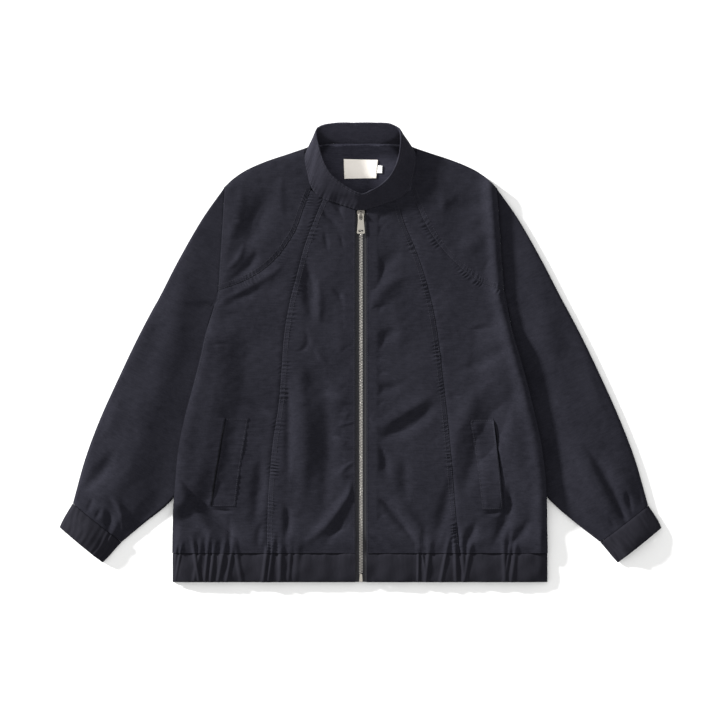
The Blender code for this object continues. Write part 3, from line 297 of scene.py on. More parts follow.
# Smaller creases of the sleeves, most of them where the cuffs gather them
SLEEVE_CREASES: list[Fold] = [Fold(*f) for f in (
    (410, -212, 415, -230, 421, -250, 8, -2.4), (396, -232, 404, -250, 411, -262, 7, -1.2),
    (382, -250, 390, -264, 397, -272, 6, -1.1), (430, -208, 434, -222, 437, -236, 7, -1.0),
    (-434, -205, -437, -218, -440, -232, 7, -0.9), (-412, -222, -418, -236, -424, -247, 7, -1.2),
    (-400, -238, -406, -250, -411, -258, 6, -1.2), (-366, -252, -372, -268, -381, -282, 7, -1.2),
    (-352, -240, -362, -262, -374, -284, 8, -1.0), (232, 190, 248, 176, 262, 170, 9, -0.8),
    (-232, 196, -248, 182, -262, 176, 9, -0.8), (240, 130, 256, 118, 268, 116, 9, -0.7),
    (250, 40, 268, 30, 282, 32, 10, -0.8), (-250, 44, -266, 32, -280, 34, 10, -0.7))]

BAND_HEIGHT = 45.0  # of the hem bands

GATHERS: dict[Side, list[Cluster]] = {
    Side.LEFT: [Cluster(*c) for c in (
        (-288, -274, 2, 2.2), (-262, -224, 4, 2.8), (-217, -185, 3, 2.6), (-150, -120, 3, 2.6),
        (-114, -90, 2, 2.2))],
    Side.RIGHT: [Cluster(*c) for c in ((84, 110, 3, 2.4), (129, 172, 4, 3.0), (217, 245, 3, 2.2))],
}


# Numbers along curves
def smooth_rows(rows: Sequence[Sequence[float]], steps: int, corners: Sequence[int] = ()) -> Array:
    """Interpolates rows of numbers smoothly.

    Args:
        rows: the rows to pass through.
        steps: new rows to each span.
        corners: rows at which the curve breaks.

    Returns:
        The finer rows.
    """
    table = np.array([tuple(row) for row in rows], float)
    count = len(table)
    slope = np.zeros_like(table)
    for i in range(1, count - 1):
        if i not in corners:
            slope[i] = 0.5 * (table[i + 1] - table[i - 1])
    result = [table[:1]]
    t = (np.arange(1, steps + 1) / steps)[:, None]
    for i in range(count - 1):
        step = table[i + 1] - table[i]
        start = slope[i] if slope[i].any() else step
        end = slope[i + 1] if slope[i + 1].any() else step
        result.append(
            table[i] + step * (3 * t**2 - 2 * t**3)
            + start * (t - 2 * t**2 + t**3) + end * (t**3 - t**2)
        )
    return np.concatenate(result)


def table_x(rows: Sequence[Sequence[float]], y: Any) -> Array:
    """x at the given y on a smooth curve of (x, y) rows that run down in y."""
    fine = smooth_rows(rows, 8)
    return np.interp(-np.asarray(y, float), -fine[:, 1], fine[:, 0])


def resampled(rows: Array, columns: Sequence[int], step: float) -> Array:
    """Rows spaced evenly.

    Args:
        rows: rows of numbers along a curve.
        columns: the columns whose distance is made even.
        step: the distance.

    Returns:
        The evenly spaced rows.
    """
    place = np.concatenate([[0], np.cumsum(np.linalg.norm(np.diff(rows[:, columns], axis=0), axis=1))])
    wanted = np.linspace(0, place[-1], max(2, int(round(place[-1] / step)) + 1))
    return np.column_stack([np.interp(wanted, place, rows[:, k]) for k in range(rows.shape[1])])


def ramp(value: Any, low: float, high: float) -> Array:
    """0 below low, 1 above high, smooth between."""
    t = np.clip((np.asarray(value, float) - low) / (high - low), 0, 1)
    return t * t * (3 - 2 * t)


def bump(distance: Any, width: float) -> Array:
    """1 at no distance and one half at half the width."""
    return np.exp(-math.log(2) * (2 * np.asarray(distance) / width) ** 2)


def spaced(length: float, edge_step: float, middle_step: float, edge_zone: float) -> Array:
    """Fractions across a panel, closer together near both of its edges.

    Args:
        length: the panel's width.
        edge_step: spacing at the edges.
        middle_step: spacing in the middle.
        edge_zone: how far in from an edge the spacing stays close.

    Returns:
        Fractions from 0 to 1.
    """
    place = [0.0]
    while place[-1] < length:
        near = min(place[-1], length - place[-1])
        wider = float(ramp(near, edge_zone, 2.5 * edge_zone))
        place.append(place[-1] + edge_step + (middle_step - edge_step) * wider)
    return np.array(place) / place[-1]


def hump(t: Any) -> Array:
    """0 at both ends of a fold and 1 at its middle."""
    return ramp(t, -0.05, 0.45) * (1 - ramp(t, 0.55, 1.05))


def nearest_on(points: Array, x: Array, y: Array) -> tuple[Array, Array]:
    """Distance to a polyline, and how far along it the nearest point lies.

    Args:
        points: the polyline.
        x: places.
        y: places.

    Returns:
        The distances, and fractions of the polyline's length in steps.
    """
    nearest = np.full(np.shape(x), np.inf)
    along = np.zeros(np.shape(x))
    for i in range(len(points) - 1):
        start, run = points[i], points[i + 1] - points[i]
        s = np.clip(((x - start[0]) * run[0] + (y - start[1]) * run[1]) / (run @ run), 0, 1)
        away = np.hypot(x - start[0] - s * run[0], y - start[1] - s * run[1])
        closer = away < nearest
        nearest = np.where(closer, away, nearest)
        along = np.where(closer, (i + s) / (len(points) - 1), along)
    return nearest, along


def fold_curve(fold: Fold, count: int) -> Array:
    """Points along a fold's curve."""
    t = np.linspace(0, 1, count)[:, None]
    a, b, c = (np.array(p) for p in ((fold.x0, fold.y0), (fold.x1, fold.y1), (fold.x2, fold.y2)))
    middle = 2 * b - 0.5 * (a + c)
    return (1 - t) ** 2 * a + 2 * t * (1 - t) * middle + t**2 * c


def folds_at(x: Array, y: Array, folds: Sequence[Fold]) -> Array:
    """Sum of the folds' heights at the given places."""
    total = np.zeros(np.shape(x))
    for fold in folds:
        nearest, along = nearest_on(fold_curve(fold, 13), x, y)
        share = hump(along)
        total += fold.height * share * bump(nearest, fold.width * (0.45 + 0.55 * share))
    return total


def uneven(x: Any, y: Any, length: float, seed: int, waves: int = 9) -> Array:
    """A soft uneven field between about -1 and 1.

    Args:
        x: places.
        y: places.
        length: the shortest wave's length.
        seed: which field.
        waves: how many waves it is made of.

    Returns:
        The field's values.
    """
    rng = np.random.default_rng(seed)
    total = np.zeros(np.shape(x))
    for _ in range(waves):
        angle, phase = rng.uniform(0, 2 * math.pi, 2)
        k = 2 * math.pi / (length * rng.uniform(1.0, 2.6))
        total += np.sin(k * (np.asarray(x) * math.cos(angle) + np.asarray(y) * math.sin(angle)) + phase)
    return total / math.sqrt(waves)


class Swell(NamedTuple):
    """A soft uneven field with a height, its shortest wave's length, its seed and its number of waves."""

    height: float
    length: float
    seed: int
    waves: int = 9

    def at(self, x: Any, y: Any) -> Array:
        """Heights at the given places."""
        return self.height * uneven(x, y, self.length, self.seed, self.waves)


class Gather(NamedTuple):
    """A ridge of the hem's gathers: place on the seam, half width, height, lean, and reach above the seam."""

    x: float
    half: float
    height: float
    lean: float
    reach: float


@dataclass(frozen=True)
class GatherHabit:
    """How uneven the hem's gathers are, in shares of their pitch or their cluster's height."""

    seed: int = 30
    place: float = 0.2
    half: tuple[float, float] = (0.34, 0.66)
    height: tuple[float, float] = (0.5, 1.05)
    lean: float = 0.2
    reach_mm: tuple[float, float] = (16.0, 46.0)
    widening: float = 0.012
    sinking: float = 0.35
    full_reach: float = 0.15

    def ridges(self, side: Side) -> list[Gather]:
        """The ridges of one half, each uneven in its own way."""
        rng = np.random.default_rng(self.seed + side.sign)
        made = []
        for cluster in GATHERS[side]:
            pitch = (cluster.x1 - cluster.x0) / cluster.count
            for k in range(cluster.count):
                made.append(Gather(
                    cluster.x0 + pitch * (k + 0.5 + rng.uniform(-self.place, self.place)),
                    pitch * rng.uniform(*self.half), cluster.height * rng.uniform(*self.height),
                    rng.uniform(-self.lean, self.lean), rng.uniform(*self.reach_mm)))
        return made


HABIT = GatherHabit()
RIDGES: dict[Side, list[Gather]] = {side: HABIT.ridges(side) for side in Side}


def gather_wave(x: Array, below: Array, side: Side) -> Array:
    """Height of the hem's gathers.

    Args:
        x: places.
        below: distances under the hem seam, negative above it.
        side: the half.

    Returns:
        Heights.
    """
    total = np.zeros(np.broadcast(x, below).shape)
    above = np.maximum(-below, 0)
    for ridge in RIDGES[side]:
        spread = ridge.half * (1 + HABIT.widening * above)
        near = np.clip(1 - np.abs(x - ridge.x - ridge.lean * below) / spread, 0, 1)
        fade = 1 - HABIT.sinking * np.maximum(below, 0) / BAND_HEIGHT
        fade = fade * (1 - ramp(above, HABIT.full_reach * ridge.reach, ridge.reach))
        total = np.maximum(total, ridge.height * fade * near * near * (3 - 2 * near))
    return total


@dataclass(frozen=True)
class Wrinkles:
    """Small short creases scattered over a region, and the ranges that the form of each is drawn from."""

    seed: int
    count: int
    low: tuple[float, float]
    high: tuple[float, float]
    angle: tuple[float, float] = (0.9, 0.7)
    one_way: float = 0.7
    length: tuple[float, float] = (12.0, 34.0)
    width: tuple[float, float] = (2.6, 6.5)
    height: tuple[float, float] = (-0.34, 0.22)
    bow: float = 0.8
    fade: float = 2.0
    sharpness: float = 1.6

    def at(self, x: Array, y: Array) -> Array:
        """Heights at the given places."""
        rng = np.random.default_rng(self.seed)
        total = np.zeros(np.shape(x))
        for _ in range(self.count):
            cx, cy = rng.uniform(self.low, self.high)
            angle = rng.normal(*self.angle) * (1 if rng.uniform() < self.one_way else -1)
            length, width, height = (rng.uniform(*pair) for pair in (self.length, self.width, self.height))
            along = ((x - cx) * math.cos(angle) + (y - cy) * math.sin(angle)) / length
            across = ((y - cy) * math.cos(angle) - (x - cx) * math.sin(angle)) / width + self.bow * along**2
            total += height * np.exp(-(along**2) * self.fade - np.abs(across) ** self.sharpness)
        return total


@dataclass(frozen=True)
class Ladder:
    """Small puckers across a stitched band, as the steps of a ladder."""

    pitch: float = 5.6
    height: float = 0.46
    start: tuple[float, float] = (0.2, 1.8)
    end_fade: float = 4.0
    strength: float = 0.75
    strength_swing: float = 0.9
    swing_length: float = 26.0
    weakest: float = 0.05
    strongest: float = 2.0
    wander: float = 0.35
    wander_length: float = 17.0
    slant: float = 0.03

    def at(self, away: Array, along: Array, band: float, seed: int) -> Array:
        """Heights of the puckers.

        Args:
            away: distances from the seam.
            along: distances along it.
            band: the band's width.
            seed: which puckers.

        Returns:
            Heights.
        """
        mask = ramp(away, *self.start) * (1 - ramp(away, band - self.end_fade, band + self.end_fade))
        swing = Swell(self.strength_swing, self.swing_length, seed, 5).at(along, 0 * along)
        strength = np.clip(self.strength + swing, self.weakest, self.strongest)
        wander = Swell(self.wander, self.wander_length, seed + 3, 4).at(0.5 * away, along)
        phase = along / self.pitch + wander + self.slant * away
        return self.height * mask * strength * np.sin(2 * math.pi * phase)


def by_side(x: Array, pair: Sequence[Array]) -> Array:
    """The left value where x is left of the middle, else the right one."""
    return np.where(np.asarray(x) < 0, pair[0], pair[1])


@dataclass(frozen=True)
class Lay:
    """How the cloth lies: heights of the body's layers."""

    back_cloth: float = 2.2
    front_cloth: float = 2.4
    layer_gap: float = 0.4
    front_rise: float = 3.4
    roll_length: float = 9.0
    shoulder_slope: float = 0.93
    hem_seam_y: float = -310.0
    hem_y: float = -310.0 - BAND_HEIGHT
    # The armhole's raised edge and the rim beside it, on the left and the right
    arm_edge_raise: float = 1.4
    arm_foot: float = 20.0
    arm_rim_raise: tuple[float, float] = (0.8, 2.8)
    arm_rim_more: tuple[float, float] = (0.0, 3.6)
    arm_rim_upper: tuple[float, float] = (-150.0, 40.0)
    arm_rim_at: float = 9.0
    arm_rim_width: float = 18.0
    # Seams
    seam_dip: float = 0.4
    seam_dip_width: float = 7.0
    seam_cut: float = 0.35
    seam_cut_width: float = 1.3
    ladder: Ladder = Ladder()
    princess_band: tuple[float, float] = (13.0, 9.75)
    centre_band: float = 5.0
    centre_share: float = 0.5
    yoke_band: float = 8.0
    yoke_share: float = 0.7
    # Cloth blousing over the hem seam
    blouse_raise: float = 2.4
    blouse_at: float = 20.0
    blouse_width: float = 32.0
    gather_share: float = 0.9
    # The sleeve's edge under the body
    tuck_top: float = 14.0
    tuck_top_fade: float = 44.0
    tuck_end: float = -236.0
    tuck_end_fade: float = 46.0
    tuck_lift: float = 6.8
    tuck_ramp: float = 50.0
    tuck_clear: float = 12.0
    # The flat strip beside the zip
    zip_x: float = 0.6
    tape_top: float = 5.7
    zip_flat: tuple[float, float] = (24.0, 40.0)
    # Pocket openings
    slit_depth: float = 1.7
    slit_width: float = 2.8
    pocket_lip: float = 1.8
    pocket_lip_run: float = 9.0
    pocket_pucker: float = 0.18
    pucker_pitch: float = 8.0
    pucker_outer_run: float = 9.0
    pucker_inner_run: float = 12.0
    # Small unevenness
    swells: tuple[Swell, ...] = (Swell(0.24, 38, 21), Swell(0.09, 15, 22))
    wrinkles: Wrinkles = Wrinkles(23, 190, (-285, -305), (285, 300))

    def arm_curve(self, side: Side) -> list[tuple[float, float]]:
        """The armhole and side seam of one half, from the shoulder to the hem's lower edge."""
        rows = SIDE_FRONT[side]
        curve = [tuple(SHOULDER[side][-1])] + [(r.outer_x, r.outer_y) for r in rows[YOKE_CORNER:]]
        return curve + [(rows[-1].outer_x, self.hem_y)]

    def body_edge(self, y: Any) -> list[Array]:
        """Half widths of the body at y."""
        return [np.abs(table_x(self.arm_curve(side), y)) for side in Side]

    def shoulder_y(self, x: Any) -> Array:
        """Height in the picture of the shoulder line at x."""
        both = np.array(SHOULDER[Side.LEFT][::-1] + SHOULDER[Side.RIGHT])
        return np.interp(x, both[:, 0], both[:, 1])

    def yoke_seam(self, side: Side, steps: int) -> Array:
        """Points of the yoke seam, from the neck to the armhole."""
        return smooth_rows([(s.outer_x, s.outer_y) for s in SIDE_FRONT[side][:YOKE_CORNER + 1]], steps)

    def tuck(self, x: Array, y: Array) -> Array:
        """How far the body is raised by the sleeve's edge under it."""
        ends = SLEEVE[Side.LEFT]
        spot = np.clip(y, ends[-1].in_y, ends[0].in_y)
        inner = by_side(x, [np.abs(table_x([(s.in_x, s.in_y) for s in SLEEVE[side]], spot)) for side in Side])
        inside = ramp(np.abs(x) - inner, -self.tuck_ramp - self.tuck_clear, -self.tuck_clear)
        along = ramp(-y, -self.tuck_top - self.tuck_top_fade, -self.tuck_top)
        along = along * (1 - ramp(-y, -self.tuck_end, -self.tuck_end + self.tuck_end_fade))
        return self.tuck_lift * inside * along

    def puckers(self, x: Array, y: Array) -> Array:
        """Ladders of puckers beside the princess and yoke seams, and the dark line of each seam."""
        total = np.zeros(np.shape(x))
        for side, band in zip(Side, self.princess_band):
            away = (table_x(PRINCESS[side], y) - x) * side.sign
            total += self.ladder.at(away, y, band, 11 + side.sign)
            total += self.centre_share * self.ladder.at(-away, y, self.centre_band, 15 + side.sign)
            total -= self.seam_cut * np.exp(-np.abs(away) / self.seam_cut_width)
            curve = self.yoke_seam(side, 4)
            gap, share = nearest_on(curve, x, y)
            run = share * np.linalg.norm(np.diff(curve, axis=0), axis=1).sum()
            total += self.yoke_share * self.ladder.at(gap, run, self.yoke_band, 19 + side.sign)
            total -= self.seam_cut * np.exp(-gap / self.seam_cut_width)
        return total

    def pockets(self, x: Array, y: Array) -> Array:
        """The slit beside each welt's open edge, and the puckers that its sewing draws in."""
        total = np.zeros(np.shape(x))
        for side in Side:
            rows = WELT[side]
            heights = [-w.y for w in rows]
            inner = np.interp(-y, heights, [w.inner_x for w in rows])
            outer = np.interp(-y, heights, [w.outer_x for w in rows])
            inside = ramp(np.minimum(rows[0].y - y, y - rows[-1].y), -1, 4)
            beyond = (x - outer) * side.sign
            before = (inner - x) * side.sign
            own_half = x * side.sign > 0
            if side is Side.LEFT:
                lip = ramp(beyond, -0.6, 0.6) * np.exp(-np.maximum(beyond, 0) / self.pocket_lip_run)
                total += self.pocket_lip * inside * lip * own_half
            else:
                total -= self.slit_depth * inside * bump(beyond - 1.0, self.slit_width)
            wander = Swell(0.3, 24, 51 + side.sign, 4).at(x * 0.3, y)
            wave = np.sin(2 * math.pi * (y / self.pucker_pitch + wander))
            reach = ramp(beyond, 0.5, 3) * np.exp(-np.maximum(beyond, 0) / self.pucker_outer_run) * own_half
            inward = ramp(before, 0.5, 3) * np.exp(-np.maximum(before, 0) / self.pucker_inner_run)
            total += self.pocket_pucker * inside * (reach + inward * own_half) * wave
        return total

    def zip_rise(self, x: Array) -> Array:
        """How much higher the lowest cloth is beside the zip, on its tapes."""
        return (1 - ramp(np.abs(x - self.zip_x), *self.zip_flat)) * (self.tape_top - self.back_cloth)

    def front_top(self, x: Array, y: Array) -> Array:
        """Height of the fronts' upper surface."""
        edge = by_side(x, self.body_edge(y)) - np.abs(x)
        below = self.shoulder_slope * (self.shoulder_y(x) - y)
        inward = np.maximum(np.minimum(edge, below), 0)
        level = self.back_cloth + self.layer_gap + self.front_rise * (1 - np.exp(-inward / self.roll_length))
        armhole = ramp(y, self.hem_seam_y - self.arm_foot, self.hem_seam_y + 0.5 * self.arm_foot)
        level = level + armhole * self.arm_edge_raise * np.exp(-np.maximum(edge, 0) / self.roll_length)
        upper = ramp(y, *self.arm_rim_upper)
        rim = by_side(x, [low + more * upper for low, more in zip(self.arm_rim_raise, self.arm_rim_more)])
        level = level + armhole * rim * bump(edge - self.arm_rim_at, self.arm_rim_width)
        level = level + self.tuck(x, y)
        for side in Side:
            level = level - self.seam_dip * bump(x - table_x(PRINCESS[side], y), self.seam_dip_width)
            gap, _ = nearest_on(self.yoke_seam(side, 3), x, y)
            level = level - self.seam_dip * bump(gap, self.seam_dip_width)
        blouse = bump(y - self.hem_seam_y - self.blouse_at, self.blouse_width)
        level = level + self.blouse_raise * blouse * ramp(inward, 0, 12)
        beside_zip = np.abs(x - self.zip_x)
        calm = ramp(inward, 1, 14) * ramp(beside_zip, 8, 20) * ramp(y, self.hem_seam_y, self.hem_seam_y + 12)
        level = level + calm * folds_at(x, y, FOLDS)
        near = ramp(inward, 0, 6) * ramp(y, self.hem_seam_y, self.hem_seam_y + 5)
        level = level + near * folds_at(x, y, CREASES)
        level = level + near * (self.puckers(x, y) + self.pockets(x, y))
        level = level + calm * sum(swell.at(x, y) for swell in self.swells)
        level = level + near * ramp(beside_zip, 8, 12) * self.wrinkles.at(x, y)
        for side in Side:
            gathers = gather_wave(x, self.hem_seam_y - y, side)
            level = level + self.gather_share * ramp(inward, 0, 5) * gathers
        least = self.back_cloth + self.layer_gap + self.tuck(x, y) + self.zip_rise(x)
        return np.maximum(level, least) + self.front_cloth


LAY = Lay()


# Shader maths
Colour = tuple[float, float, float]
PER_MM = 1000.0
MIX_SOCKETS = (0, 6, 7)  # factor and the two colours of a Mix node
MIX_RESULT = 2


class Grain(NamedTuple):
    """A noise's scale, detail and roughness."""

    scale: float
    detail: float = 3.0
    rough: float = 0.55


class Shade:
    """A socket of a material, on which Python's operators add Math nodes."""

    def __init__(self, graph: Graph, socket: Any) -> None:
        """Wraps a socket or a number."""
        self.graph = graph
        self.socket = socket

    def _math(self, operation: str, *values: Any) -> Shade:
        """A Math node on the values."""
        return self.graph.node("ShaderNodeMath", {"operation": operation}, dict(enumerate(values)))

    def __add__(self, other: Any) -> Shade:
        """Sum."""
        return self._math("ADD", self, other)

    __radd__ = __add__

    def __mul__(self, other: Any) -> Shade:
        """Product."""
        return self._math("MULTIPLY", self, other)

    __rmul__ = __mul__

    def __sub__(self, other: Any) -> Shade:
        """Difference."""
        return self._math("SUBTRACT", self, other)

    def __rsub__(self, other: Any) -> Shade:
        """Difference from a number."""
        return self._math("SUBTRACT", other, self)

    def sine(self) -> Shade:
        """Sine."""
        return self._math("SINE", self)

    def clamped(self) -> Shade:
        """The value held between 0 and 1."""
        return self._math("MINIMUM", self._math("MAXIMUM", self, 0.0), 1.0)


class Graph:
    """The node tree of one material."""

    def __init__(self, name: str) -> None:
        """Starts a material with a Principled shader."""
        self.material = bpy.data.materials.new(name)
        self.material.use_nodes = True
        self.tree = self.material.node_tree
        self.shader = self.tree.nodes["Principled BSDF"]

    def node(self, kind: str, settings: dict[str, Any], inputs: dict[Any, Any], output: Any = 0) -> Shade:
        """Adds a node.

        Args:
            kind: the node's type.
            settings: its settings, set first.
            inputs: values or links of its sockets, by name or number.
            output: the socket to return.

        Returns:
            The output, wrapped.
        """
        made = self.tree.nodes.new(kind)
        for key, value in settings.items():
            setattr(made, key, value)
        for key, value in inputs.items():
            self.connect(value, made.inputs[key])
        return Shade(self, made.outputs[output])

    def connect(self, value: Any, target: Any) -> None:
        """Links or sets a socket."""
        if isinstance(value, Shade):
            self.tree.links.new(value.socket, target)
        else:
            target.default_value = value

    def place(self, scale: float = 1.0, turn: float = 0.0) -> Shade:
        """Object coordinates, scaled and turned about Z."""
        coordinates = self.node("ShaderNodeTexCoord", {}, {}, "Object")
        return self.node("ShaderNodeMapping", {}, {
            "Vector": coordinates, "Rotation": (0, 0, turn), "Scale": (scale,) * 3})

    def stretched(self, place: Shade, scale: tuple[float, float, float]) -> Shade:
        """Coordinates scaled differently along each axis."""
        return self.node("ShaderNodeMapping", {}, {"Vector": place, "Scale": scale})

    def axis(self, place: Shade, letter: str) -> Shade:
        """One axis of the coordinates."""
        return self.node("ShaderNodeSeparateXYZ", {}, {"Vector": place}, letter)

    def ribs(self, value: Shade, pitch: float) -> Shade:
        """A wave between 0 and 1 along a value."""
        return (value * (2 * math.pi / pitch)).sine() * 0.5 + 0.5

    def mix(self, factor: Any, first: Any, second: Any) -> Shade:
        """Mixes two colours."""
        made = self.tree.nodes.new("ShaderNodeMix")
        made.data_type = "RGBA"
        for socket, value in zip(MIX_SOCKETS, (factor, first, second)):
            self.connect(value, made.inputs[socket])
        return Shade(self, made.outputs[MIX_RESULT])

    def noise(self, place: Shade, grain: Grain) -> Shade:
        """A noise value around one half."""
        return self.node("ShaderNodeTexNoise", {}, {
            "Vector": place, "Scale": grain.scale, "Detail": grain.detail, "Roughness": grain.rough}, 0)

    def bump(self, strength: float, distance: float, height: Shade) -> Shade:
        """A normal from a height."""
        return self.node("ShaderNodeBump", {}, {"Strength": strength, "Distance": distance, "Height": height})

    def finish(self, constants: dict[str, Any], linked: dict[str, Shade]) -> Material:
        """Sets the shader's sockets and returns the material."""
        for key, value in {**constants, **linked}.items():
            self.connect(value, self.shader.inputs[key])
        return self.material


def rgb(colour: Colour, share: float = 1.0) -> tuple[float, float, float, float]:
    """A colour socket's value, from a colour times a share."""
    return (*(share * value for value in colour), 1.0)


@dataclass(frozen=True)
class TwillFinish:
    """Dark navy cotton twill: diagonal weave, slubs, a soft bloom where it has rubbed, and optional painted
    light in an oval round the inside of the neck.
    """

    name: str
    turn: float = 0.0
    dark: Colour = (0.0030, 0.0030, 0.0052)
    light: Colour = (0.0175, 0.0173, 0.0237)
    sheen: Colour = (0.62, 0.64, 0.74)
    rib_pitch_mm: float = 1.15
    yarn: Grain = Grain(0.9, 2.0, 0.6)
    slub: Grain = Grain(0.55, 3.0, 0.6)
    slub_stretch: tuple[float, float, float] = (0.12, 1.1, 1.0)
    cloud: Grain = Grain(0.018, 3.0, 0.5)
    worn: Grain = Grain(0.11, 4.0, 0.62)
    creases: Grain = Grain(0.1)
    darkening: float = 0.82
    relief: float = 0.22
    relief_depth: float = 0.0006
    # Painted light: how many times brighter the colours are painted inside an oval round the neck, 0 for
    # none; the next three fields place the oval and soften its edge
    painted_neck_light: float = 0.0
    neck_y_mm: float = 288.0
    neck_radii_mm: tuple[float, float] = (66.0, 50.0)
    neck_edge: float = 5.0

    def build(self) -> Material:
        """The material."""
        graph = Graph(self.name)
        place = graph.place(PER_MM, self.turn)
        x, y = graph.axis(place, "X"), graph.axis(place, "Y")
        ribs = graph.ribs(x + y, self.rib_pitch_mm * math.sqrt(2))
        yarn = graph.noise(place, self.yarn)
        slub = graph.noise(graph.stretched(place, self.slub_stretch), self.slub)
        cloud = graph.noise(place, self.cloud)
        worn = graph.noise(place, self.worn)
        tone = yarn * 0.8 + slub * 0.7 + cloud * 0.5 + worn * 0.5 - self.darkening + ribs * 0.14
        tone = tone.clamped()
        colour = graph.mix(tone, rgb(self.dark), rgb(self.light))
        # Painted light: the colours inside the oval are brightened in place of light on the inside of the
        # neck, which the collar shades from the low key
        if self.painted_neck_light:
            across = x * (1 / self.neck_radii_mm[0])
            down = (y - self.neck_y_mm) * (1 / self.neck_radii_mm[1])
            inside = ((1.0 - across * across - down * down) * self.neck_edge).clamped()
            bright = graph.mix(tone, rgb(self.dark, self.painted_neck_light), rgb(self.light, self.painted_neck_light))
            colour = graph.mix(inside, colour, bright)
        height = ribs * 0.35 + yarn * 0.5 + slub * 0.3 + graph.noise(place, self.creases) * 1.2
        return graph.finish(
            {"Sheen Weight": 0.02, "Sheen Roughness": 0.5, "Sheen Tint": rgb(self.sheen),
             "Specular IOR Level": 0.06},
            {"Base Color": colour, "Roughness": 0.84 + 0.1 * worn,
             "Normal": graph.bump(self.relief, self.relief_depth, height)})


@dataclass(frozen=True)
class ThreadFinish:
    """Twisted sewing thread of the cloth's colour."""

    colour: Colour = (0.020, 0.020, 0.026)
    shares: tuple[float, float] = (0.7, 1.3)
    twist: Grain = Grain(3.2, 2.0)

    def build(self) -> Material:
        """The material."""
        graph = Graph("sewing_thread")
        twist = graph.noise(graph.place(PER_MM), self.twist)
        colour = graph.mix(twist, *(rgb(self.colour, share) for share in self.shares))
        return graph.finish(
            {"Roughness": 0.7, "Specular IOR Level": 0.12},
            {"Base Color": colour, "Normal": graph.bump(0.3, 0.0002, twist)})


@dataclass(frozen=True)
class TapeFinish:
    """Woven zip tape: fine ribs along its length."""

    dark: Colour = (0.010, 0.010, 0.013)
    light: Colour = (0.045, 0.044, 0.048)
    warp_pitch_mm: float = 0.8
    weft_pitch_mm: float = 1.3
    yarn: Grain = Grain(1.3, 2.0)

    def build(self) -> Material:
        """The material."""
        graph = Graph("zip_tape_weave")
        place = graph.place(PER_MM)
        weave = (graph.ribs(graph.axis(place, "X"), self.warp_pitch_mm)
                 * graph.ribs(graph.axis(place, "Y"), self.weft_pitch_mm))
        tone = (weave * 0.7 + graph.noise(place, self.yarn) * 0.5 - 0.15).clamped()
        colour = graph.mix(tone, rgb(self.dark), rgb(self.light))
        return graph.finish(
            {"Roughness": 0.8, "Specular IOR Level": 0.3},
            {"Base Color": colour, "Normal": graph.bump(0.4, 0.0003, weave)})


@dataclass(frozen=True)
class LabelFinish:
    """Cream damask label: fine weft lines and an uneven yarn."""

    name: str = "cream_label"
    base: Colour = (0.90, 0.86, 0.80)
    shade: Colour = (0.78, 0.73, 0.67)
    weft_pitch_mm: float = 0.9
    yarn: Grain = Grain(1.4, 2.0)

    def build(self) -> Material:
        """The material."""
        graph = Graph(self.name)
        place = graph.place(PER_MM)
        weft = graph.ribs(graph.axis(place, "Y"), self.weft_pitch_mm)
        yarn = graph.noise(place, self.yarn)
        tone = (weft * 0.35 + yarn * 0.55).clamped()
        colour = graph.mix(tone, rgb(self.base), rgb(self.shade))
        return graph.finish(
            {"Roughness": 0.62, "Specular IOR Level": 0.35, "Sheen Weight": 0.1},
            {"Base Color": colour, "Normal": graph.bump(0.25, 0.0003, weft + yarn)})


@dataclass(frozen=True)
class MetalFinish:
    """Nickel-plated zip metal with fine handling marks."""

    name: str
    bright: Colour = (0.62, 0.585, 0.52)
    dull: Colour = (0.30, 0.28, 0.245)
    roughness: float = 0.28
    marks: Grain = Grain(0.9, 4.0, 0.65)
    grain: Grain = Grain(0.8)
    grain_stretch: tuple[float, float, float] = (6.0, 0.5, 1.0)

    def build(self) -> Material:
        """The material."""
        graph = Graph(self.name)
        place = graph.place(PER_MM)
        marks = graph.noise(place, self.marks)
        grain = graph.noise(graph.stretched(place, self.grain_stretch), self.grain)
        colour = graph.mix(marks, rgb(self.bright), rgb(self.dull))
        rough = (self.roughness + (marks - 0.5) * 0.3 + (grain - 0.5) * 0.15).clamped()
        return graph.finish(
            {"Metallic": 1.0},
            {"Base Color": colour, "Roughness": rough, "Normal": graph.bump(0.12, 0.0002, grain)})


@dataclass(frozen=True)
class FloorFinish:
    """Plain pale floor."""

    colour: Colour = (0.86, 0.86, 0.855)
    shade: float = 0.99
    cloud: Grain = Grain(2.0, 2.0)

    def build(self) -> Material:
        """The material."""
        graph = Graph("pale_floor")
        cloud = graph.noise(graph.place(), self.cloud)
        colour = graph.mix(cloud, rgb(self.colour), rgb(self.colour, self.shade))
        return graph.finish({"Roughness": 0.9, "Specular IOR Level": 0.1}, {"Base Color": colour})


